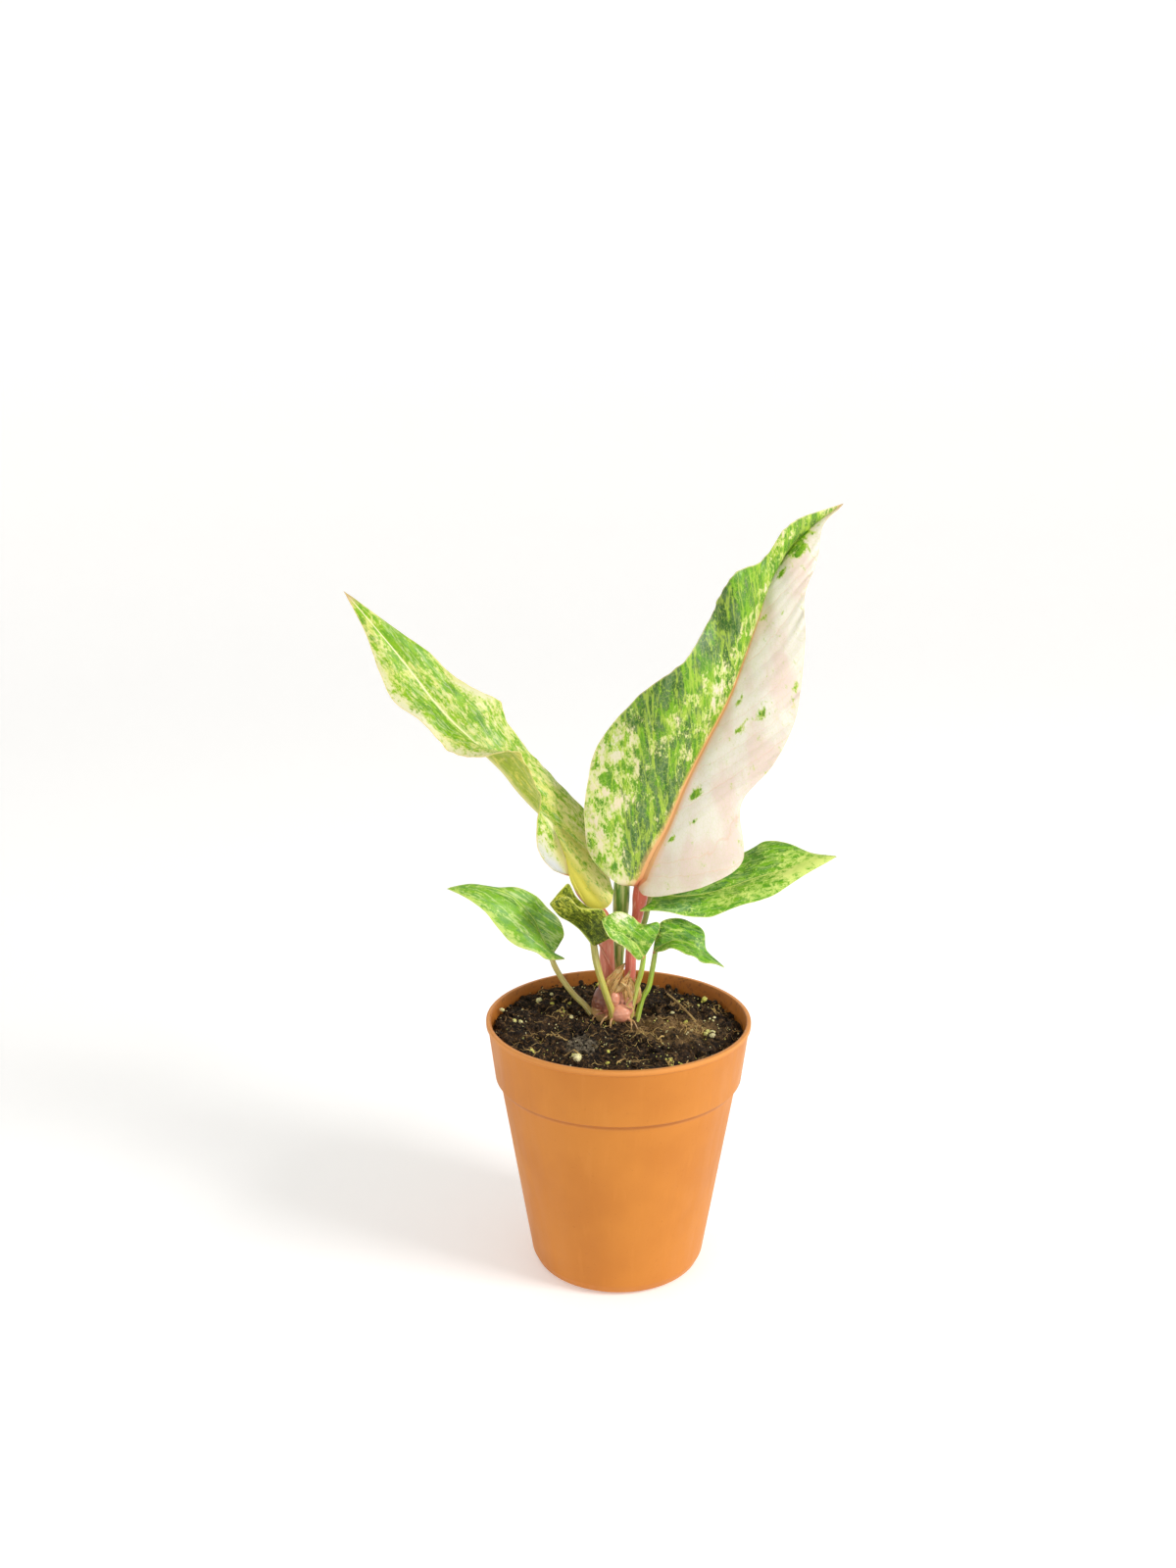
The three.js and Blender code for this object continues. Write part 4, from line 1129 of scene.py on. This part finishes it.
def leaf_skin(name, look, seed, axis):
    finish = Finish(name, 0.4, Specular_IOR_Level=0.3, Subsurface_Weight=0.12, Subsurface_Scale=0.0012,
                    Subsurface_Radius=(0.9, 1, 0.6))
    flow = finish.attribute("flow")
    rib_share, margin, along = finish.split(finish.attribute("place"))
    green, deep, blush = finish.split(finish.attribute("marbling"))
    gold, under, phase = finish.split(finish.attribute("tint"))

    grain = look["grain"] * CENTIMETRES
    turned = finish.turned(axis, grain)
    streaked = finish.stretched(turned, (1, 1, look["stretch"]), (seed, 0, 0))
    wide_streaks = finish.stretched(turned, (1, 1, look["stretch"] ** 2), (0, seed, 0))
    broad = finish.noise(finish.stretched(flow, (0.9, 0.5, 1), (0, seed, 0)), 1, 3)
    middle = finish.noise(streaked, 3, 7, 0.66, 0.3)
    second = finish.noise(wide_streaks, 2.6, 7, 0.66)
    fine = finish.noise(streaked, 11, 4, 0.65)
    tone = finish.noise(wide_streaks, 5, 4, 0.6)

    def amount(field, pattern, speckle):
        """How far the noise, with its fine speckle, rises above what the field leaves bare."""
        level = finish.sway(field, LEVEL_GAIN)
        flecked = finish.sway(fine, speckle)
        return finish.sum(level, finish.sum(finish.sum(pattern, -0.5), flecked))

    greenness = amount(green, middle, 0.45)
    depth = amount(deep, second, 0.5)
    ground = finish.mix(finish.fade(broad, 0.4, 0.62), look["ground"], look["ground_two"])
    cloud = finish.noise(wide_streaks, 0.9, 5, 0.5)
    flushed = finish.mix(finish.fade(cloud, 0.4, 0.6), look["blush"], look["blush_two"])
    ground = finish.mix(blush, ground, flushed)
    ground = finish.mix(gold, ground, look["gold"])
    wash = finish.mix(finish.fade(tone, 0.4, 0.6), look["wash"], look["wash_two"])
    finish.colour = finish.mix(finish.fade(greenness, -0.13, 0.03, 0, 0.85), ground, wash)
    bright = finish.mix(finish.fade(tone, 0.42, 0.58), look["bright"], look["bright_two"])
    finish.fade_in(greenness, 0, 0.07, bright)
    above_green = finish.fade(greenness, -0.1, 0.02)
    deepness = finish.times(finish.fade(depth, -0.02, 0.09, 0, 0.92), above_green)
    deep_tone = finish.mix(finish.fade(tone, 0.4, 0.6), look["deep"], look["deep_two"])
    finish.coat(deepness, deep_tone)
    drift = finish.add("ShaderNodeTexNoise", {"Vector": streaked, "Scale": 3}, 1)
    wobble = finish.mix(0.12, streaked, drift)
    net = finish.cells(wobble, 9, "DISTANCE_TO_EDGE")
    finish.fade_in(net, 0.09, 0, look["wash"], look["net_show"])
    long_streaks = finish.noise(finish.stretched(turned, (1, 1, 0.14), (seed, 4, 0)), 2, 5, 0.55)
    from_ridge = finish.apart(long_streaks, 0.5)
    ridge = finish.fade(from_ridge, 0.045, 0.005, 0, look["streak_show"])
    ridge = finish.times(ridge, finish.fade(tone, 0.36, 0.5))
    finish.coat(finish.times(ridge, above_green), look["streak"])
    flecks = finish.times(finish.fade(fine, 0.56, 0.66, 0, 0.7), finish.fade(depth, -0.05, 0.02))
    finish.coat(flecks, look["wash_two"])

    vein_place = finish.sum(phase, finish.fade(second, 0.3, 0.7, -0.12, 0.12))
    to_vein = finish.sum(vein_place, 0.5, "PINGPONG")
    vein_number = finish.sum(finish.sum(vein_place, 0.5), 0, "FLOOR")
    chance = finish.add("ShaderNodeTexWhiteNoise", {"W": vein_number}, noise_dimensions="1D")
    vein_line = finish.times(finish.fade(to_vein, VEIN_WIDTH, 0), finish.fade(chance, 0.2, 1))
    vein_tone = finish.mix(blush, look["vein"], look["vein_blush"])
    finish.coat(finish.times(vein_line, look["vein_show"]), vein_tone)
    near_foot = finish.fade(along, look["rib_spread"], 0)
    spread = finish.fade(rib_share, 5, 0.8)
    finish.coat(finish.times(near_foot, finish.times(spread, 0.55)), look["rib"])
    rib_tone = finish.mix(finish.fade(along, 0, look["rib_fade"]), look["rib"], look["rib_tip"])
    beside = finish.times(finish.fade(rib_share, 2.4, 1.1, 0, 0.5), finish.fade(along, 1, 0.6))
    finish.coat(beside, look["rib_tip"])
    finish.fade_in(rib_share, 1.15, 0.85, rib_tone)
    finish.fade_in(margin, 0.55, 0.1, look["margin"], look["margin_show"])
    foot_rim = finish.times(finish.fade(margin, 1.2, 0.2), finish.fade(along, 0.08, 0.01))
    finish.coat(foot_rim, look["foot_rim"])
    finish.fade_in(along, 0.97, 1, look["tip"], 0.75)
    finish.coat(finish.times(under, look["under_show"]), look["under"])

    skin = finish.noise(flow, 28, 3)
    bumped = finish.bump(finish.fade(to_vein, 0, 0.12), 0.0003, look["vein_bump"])
    bumped = finish.bump(skin, 0.0001, 0.35, bumped)
    bumped = finish.bump(fine, 0.0001, 0.3, bumped)
    rough = finish.sum(finish.fade(fine, 0.3, 0.7, 0.34, 0.48), finish.times(under, 0.12))
    return finish.wire(Roughness=rough, Normal=bumped)


# %% [markdown]
# No two leaves carry the same share of green. A few looks hold the colours, and the notes for each
# leaf lay soft oval patches over them: where along the leaf, where across it, how long, how wide,
# and then how much green, deep green, pink and gold the patch adds or takes away. Amounts left out
# at a patch's end are nought.

# %% Leaf colours
MARBLED = dict(
    grain=1, stretch=0.55, streak_show=0.58, net_show=0.22, vein_show=0.5, vein_bump=0.08,
    margin_show=0.5, under_show=0.45, rib_fade=0.26, rib_spread=0.16,
    ground=(216, 200, 168), ground_two=(204, 202, 150), gold=(232, 220, 90), blush=(220, 201, 190),
    blush_two=(225, 219, 206),
    wash=(192, 200, 106), wash_two=(160, 190, 62), bright=(108, 160, 14), bright_two=(76, 130, 20),
    deep=(42, 84, 26), deep_two=(84, 112, 66), streak=(176, 200, 62),
    vein=(190, 214, 60), vein_blush=(222, 178, 150), rib=(196, 118, 84), rib_tip=(216, 164, 108),
    margin=(236, 214, 170), foot_rim=(206, 124, 96), tip=(192, 140, 118), under=(214, 218, 150),
)
YELLOW = dict(MARBLED,
    grain=1.8, stretch=0.42, streak_show=0.45, net_show=0.2, vein_show=0.25, under_show=0.38,
    rib_spread=0.05,
    ground=(210, 208, 138), ground_two=(214, 212, 172), blush=(212, 212, 206),
    blush_two=(216, 217, 220),
    wash=(188, 200, 84), wash_two=(160, 186, 46), bright=(130, 176, 10), bright_two=(100, 156, 20),
    deep=(70, 130, 12), deep_two=(96, 142, 56), streak=(210, 216, 152),
    rib=(226, 206, 130), rib_tip=(232, 228, 170),
    margin=(238, 206, 140), foot_rim=(222, 112, 60), under=(196, 186, 70),
)
GREEN = dict(MARBLED,
    grain=1.7, stretch=0.6, streak_show=0.4, net_show=0.18, vein_show=0.3, margin_show=0.55,
    rib_spread=0.04,
    ground=(206, 218, 120), ground_two=(184, 206, 100),
    wash=(166, 196, 86), wash_two=(140, 182, 62), bright=(112, 168, 16), bright_two=(82, 144, 22),
    deep=(42, 98, 16), deep_two=(84, 132, 62), streak=(190, 212, 110),
    vein=(190, 210, 100), rib=(196, 206, 100), rib_tip=(204, 216, 110),
    margin=(214, 222, 124), tip=(190, 204, 96), under=(176, 200, 90),
)
CALM = dict(GREEN,
    grain=1.3, stretch=0.45, streak_show=0.6,
    ground=(198, 214, 120),
    wash=(176, 204, 96), bright=(122, 174, 30), bright_two=(104, 158, 56),
    deep=(66, 122, 24), deep_two=(98, 146, 84), streak=(206, 222, 140),
)
OLIVE = dict(GREEN,
    grain=2.6, under_show=0,
    ground=(206, 210, 84), ground_two=(178, 190, 50),
    wash=(138, 152, 28), wash_two=(108, 126, 18), bright=(84, 104, 12), bright_two=(64, 84, 10),
    deep=(36, 48, 8), deep_two=(54, 70, 18), streak=(160, 172, 50),
    margin=(206, 206, 120),
)
BIG = dict(rows=190, columns=40, sweep=0.1, vein_gap=9, puff=0.05, rumple=0.5, frill=1.2, rib_half=4,
           rib_rise=0.7)
SMALL = dict(rows=96, columns=22, sweep=0.2, vein_gap=4.5, puff=0.05, rumple=0.35, frill=0.5,
             rib_half=0.5, rib_rise=0.35, slot="green_leaf", look=GREEN)

LEAF_WAYS = {
    "leaf_tall": dict(BIG, slot="marbled_leaf", look=MARBLED, streak_axis=(-0.1, 0, 1),
        field=[(0.54, 0.3, 0, 0), (-0.1, -0.5, 1, 0)],
        patches=[(0.08, -0.5, 0.05, 0.6, -0.2, -0.1, 0.1), (0.1, 0.5, 0.16, 0.8, 0, 0, -0.22),
            (0.4, -0.3, 0.12, 0.3, 0.2, 0.4), (0.25, -0.2, 0.12, 0.16, 0.15, 0.35),
            (0.47, -0.94, 0.05, 0.25, 0.3, 0.4), (0.56, -0.94, 0.07, 0.2, 0.5, 0.1),
            (0.63, -0.72, 0.06, 0.35, 0.3, 0.45), (0.4, -0.94, 0.03, 0.2, -0.12, -0.25, 0.35),
            (0.24, -0.8, 0.15, 0.4, -0.05, -0.18, 0.2), (0.58, -0.38, 0.03, 0.22, -0.12, -0.3, 0.5),
            (0.73, -0.9, 0.07, 0.3, 0.35, -0.1), (0.79, -0.4, 0.04, 0.18, -0.1, -0.25, 0.3),
            (0.91, -0.3, 0.05, 0.8, 0.4, 0.3), (0.44, 0.2, 0.012, 0.07, 0.75),
            (0.38, 0.4, 0.008, 0.05, 0.6), (0.35, 0.15, 0.007, 0.05, 0.6),
            (0.61, 0.2, 0.01, 0.05, 0.55), (0.55, 0.36, 0.007, 0.05, 0.55),
            (0.57, 0.6, 0.013, 0.13, 0.4), (0.61, 0.92, 0.01, 0.05, 0.5),
            (0.76, 0.15, 0.007, 0.1, 0.5), (0.85, 0.28, 0.012, 0.1, 0.6, 0.2),
            (0.88, 0.55, 0.012, 0.12, 0.6), (0.93, 0.3, 0.045, 0.5, 0.5, 0.25, -0.6),
            (0.2, -0.4, 0.06, 0.2, 0.1, 0.15)]),
    "leaf_long": dict(BIG, slot="cream_leaf", look=YELLOW, rib_half=2.2, rib_rise=0.6, rumple=0.4,
        field=[(0.62, 0.3, 0, 0.2), (0.58, 0.22, 0, 0.1)],
        patches=[(0.1, -0.85, 0.12, 0.5, -0.5, -0.3, 0.7, -0.3),
            (0.09, 0.65, 0.14, 0.9, -0.6, -0.5, 0, 1), (0.45, -0.3, 0.12, 0.8, 0.05, 0, 0, 0.5),
            (0.72, -0.45, 0.05, 0.25, 0.35, 0.2), (0.9, 0.5, 0.06, 0.4, 0.3, 0.2),
            (0.77, 0.55, 0.03, 0.1, 0.35, 0.4), (0.66, 0.4, 0.03, 0.08, 0.35, 0.4),
            (0.75, -0.95, 0.2, 0.18, -0.4, 0, 0.3), (0.75, 0.92, 0.06, 0.15, -0.4, 0, 0.1),
            (0.4, 0.6, 0.12, 0.3, -0.15, -0.2)]),
    "leaf_left": dict(SMALL, rows=120, columns=26, look=CALM,
        field=[(0.9, 0.3, 0, 0), (1, 0.4, 0, 0)],
        patches=[(0.5, -0.95, 0.5, 0.15, -0.3, -0.2), (0.95, 0, 0.12, 1, -0.1, -0.3)]),
    "leaf_curled": dict(SMALL, look=OLIVE, field=[(0.7, 0.6, 0, 0), (0.55, 0.45, 0, 0)],
        patches=[(0.9, 0, 0.15, 1, -0.1, -0.5, 0, 0.5), (0.5, -1, 0.6, 0.1, -0.3, -0.3)]),
    "leaf_pale": dict(SMALL, field=[(0.72, 0.3, 0, 0), (0.75, 0.4, 0, 0)],
        patches=[(0.8, 0.7, 0.12, 0.35, -0.3, -0.1, 0.6), (0.5, -0.97, 0.6, 0.1, -0.2, 0, 0.5)]),
    "leaf_right": dict(SMALL, field=[(0.9, 0.62, 0, 0), (0.85, 0.4, 0, 0)],
        patches=[(0.42, -0.45, 0.12, 0.05, -0.4, -0.4), (0.2, -0.95, 0.3, 0.1, -0.3)]),
    "leaf_back": dict(SMALL, rows=130, columns=26, vein_gap=6, rib_half=0.8,
        field=[(0.85, 0.62, 0, 0), (0.65, 0.3, 0, 0)],
        patches=[(0.35, 0.5, 0.1, 0.5, 0.3, 0.5), (0.9, 0, 0.15, 1, -0.4, -0.4)]),
}


# %% Blades
for seed, (name, leaf) in enumerate(LEAVES.items()):
    leaf.update(LEAF_WAYS[name], seed=seed * 3.1)
    blade = blade_shape(leaf)
    tip_way = Vector(leaf["rib"][-1]) - Vector(leaf["rib"][1])
    axis = leaf.get("streak_axis", tip_way)
    skin = leaf_skin(f"{name}_skin", leaf["look"], leaf["seed"], axis)
    finished_piece(f"{name}_blade", blade, skin, [name], 60)

# %% [markdown]
# Two dry sheaths still cling to the crown: papery brown scales that once wrapped a young stalk. They
# are small blades with no rib, curled hard, frayed at the edge and so thin that light comes through.

# %% Dry sheaths
HUSKS = {
    "husk_pointed": [
        (2.1, [(-4.4, 3, 105.5), (-3.2, 2.3, 110), (-0.8, 2.4, 114.5), (2.7, 3.2, 118.5)]),
        (0.9, [(-3.6, 2, 106), (-1.4, 1.5, 110.5), (0.6, 1.9, 114), (2.2, 2.9, 117.5)]),
        (1.3, [(-1.5, 2.6, 106.5), (1, 2.2, 109.5), (3, 2.6, 112.5), (4.4, 3.4, 115.5)]),
    ],
    "husk_folded": [
        (2.7, [(4.8, 3.4, 101.5), (4.2, 2.6, 105.5), (4.6, 2.9, 109.5), (4, 3.9, 113)]),
        (1.3, [(6.6, 3.4, 102), (7.4, 3.6, 105.5), (7.2, 4, 109), (6, 4.6, 112)]),
        (0.55, [(0.8, 1.8, 111.5), (3.4, 1.1, 109.4), (4.6, 1, 105.5), (3.2, 1.2, 102.5),
                (5.6, 2.2, 100.6)]),
    ],
}
HUSK_THICKNESS = 0.16
HUSK_ROWS = 34
HUSK_COLUMNS = 14


def add_husk_strip(shape, path, widest, seed):
    """A crumpled strip of dry skin along a curve, pointed at its end."""
    straight = shape.verts.layers.float_vector.get("straight")
    sheet = bmesh.ops.create_grid(shape, x_segments=HUSK_COLUMNS, y_segments=HUSK_ROWS, size=0.5)
    rib = points(path)
    for vertex in sheet["verts"]:
        v = 2 * vertex.co.x
        u = vertex.co.y + 0.5
        spot = curve_at(rib, u)
        along = (curve_at(rib, u + 0.001) - curve_at(rib, u - 0.001)).normalized()
        across = along.cross(Vector((0, 1, 0))).normalized()
        face = across.cross(along)
        half = widest * min(1, 0.35 + 4 * u) * (1 - u**3) + 0.05
        fray = noise.noise(Vector((v * 1.5 + seed, u * 5, seed)))
        fold = noise.fractal(Vector((v * 1.8, u * 2.5 + seed, seed)), 0.9, 2, 3)
        curl = widest * (0.45 * v * v + 0.35 * fold)
        vertex.co = spot + across * v * half * (1 + 0.3 * fray) + face * curl
        vertex[straight] = (v * half, u * 12, seed)


def husk_shape(strips):
    shape = bmesh.new()
    shape.verts.layers.float_vector.new("straight")
    for seed, (widest, path) in enumerate(strips):
        add_husk_strip(shape, path, widest, seed * 3.7)
    bmesh.ops.recalc_face_normals(shape, faces=shape.faces)
    bmesh.ops.solidify(shape, geom=shape.faces, thickness=HUSK_THICKNESS)
    return shape


def husk_skin():
    finish = Finish("dry_husk", 0.62, Subsurface_Weight=0.15, Subsurface_Scale=0.001)
    straight = finish.attribute("straight")
    lines = finish.noise(finish.stretched(straight, (3, 0.3, 1)), 1.2, 5, 0.6)
    cloud = finish.noise(finish.place(), 300, 4)
    finish.colour = finish.mix(finish.fade(lines, 0.36, 0.52), (150, 98, 52), (214, 172, 104))
    finish.fade_in(cloud, 0.5, 0.68, (238, 208, 148), 0.7)
    finish.fade_in(cloud, 0.42, 0.3, (176, 96, 70), 0.6)
    return finish.wire(Normal=finish.bump(lines, 0.0003, 0.6))


husk_finish = husk_skin()
for name, strips in HUSKS.items():
    finished_piece(f"{name}_sheath", husk_shape(strips), husk_finish, [name], 60)
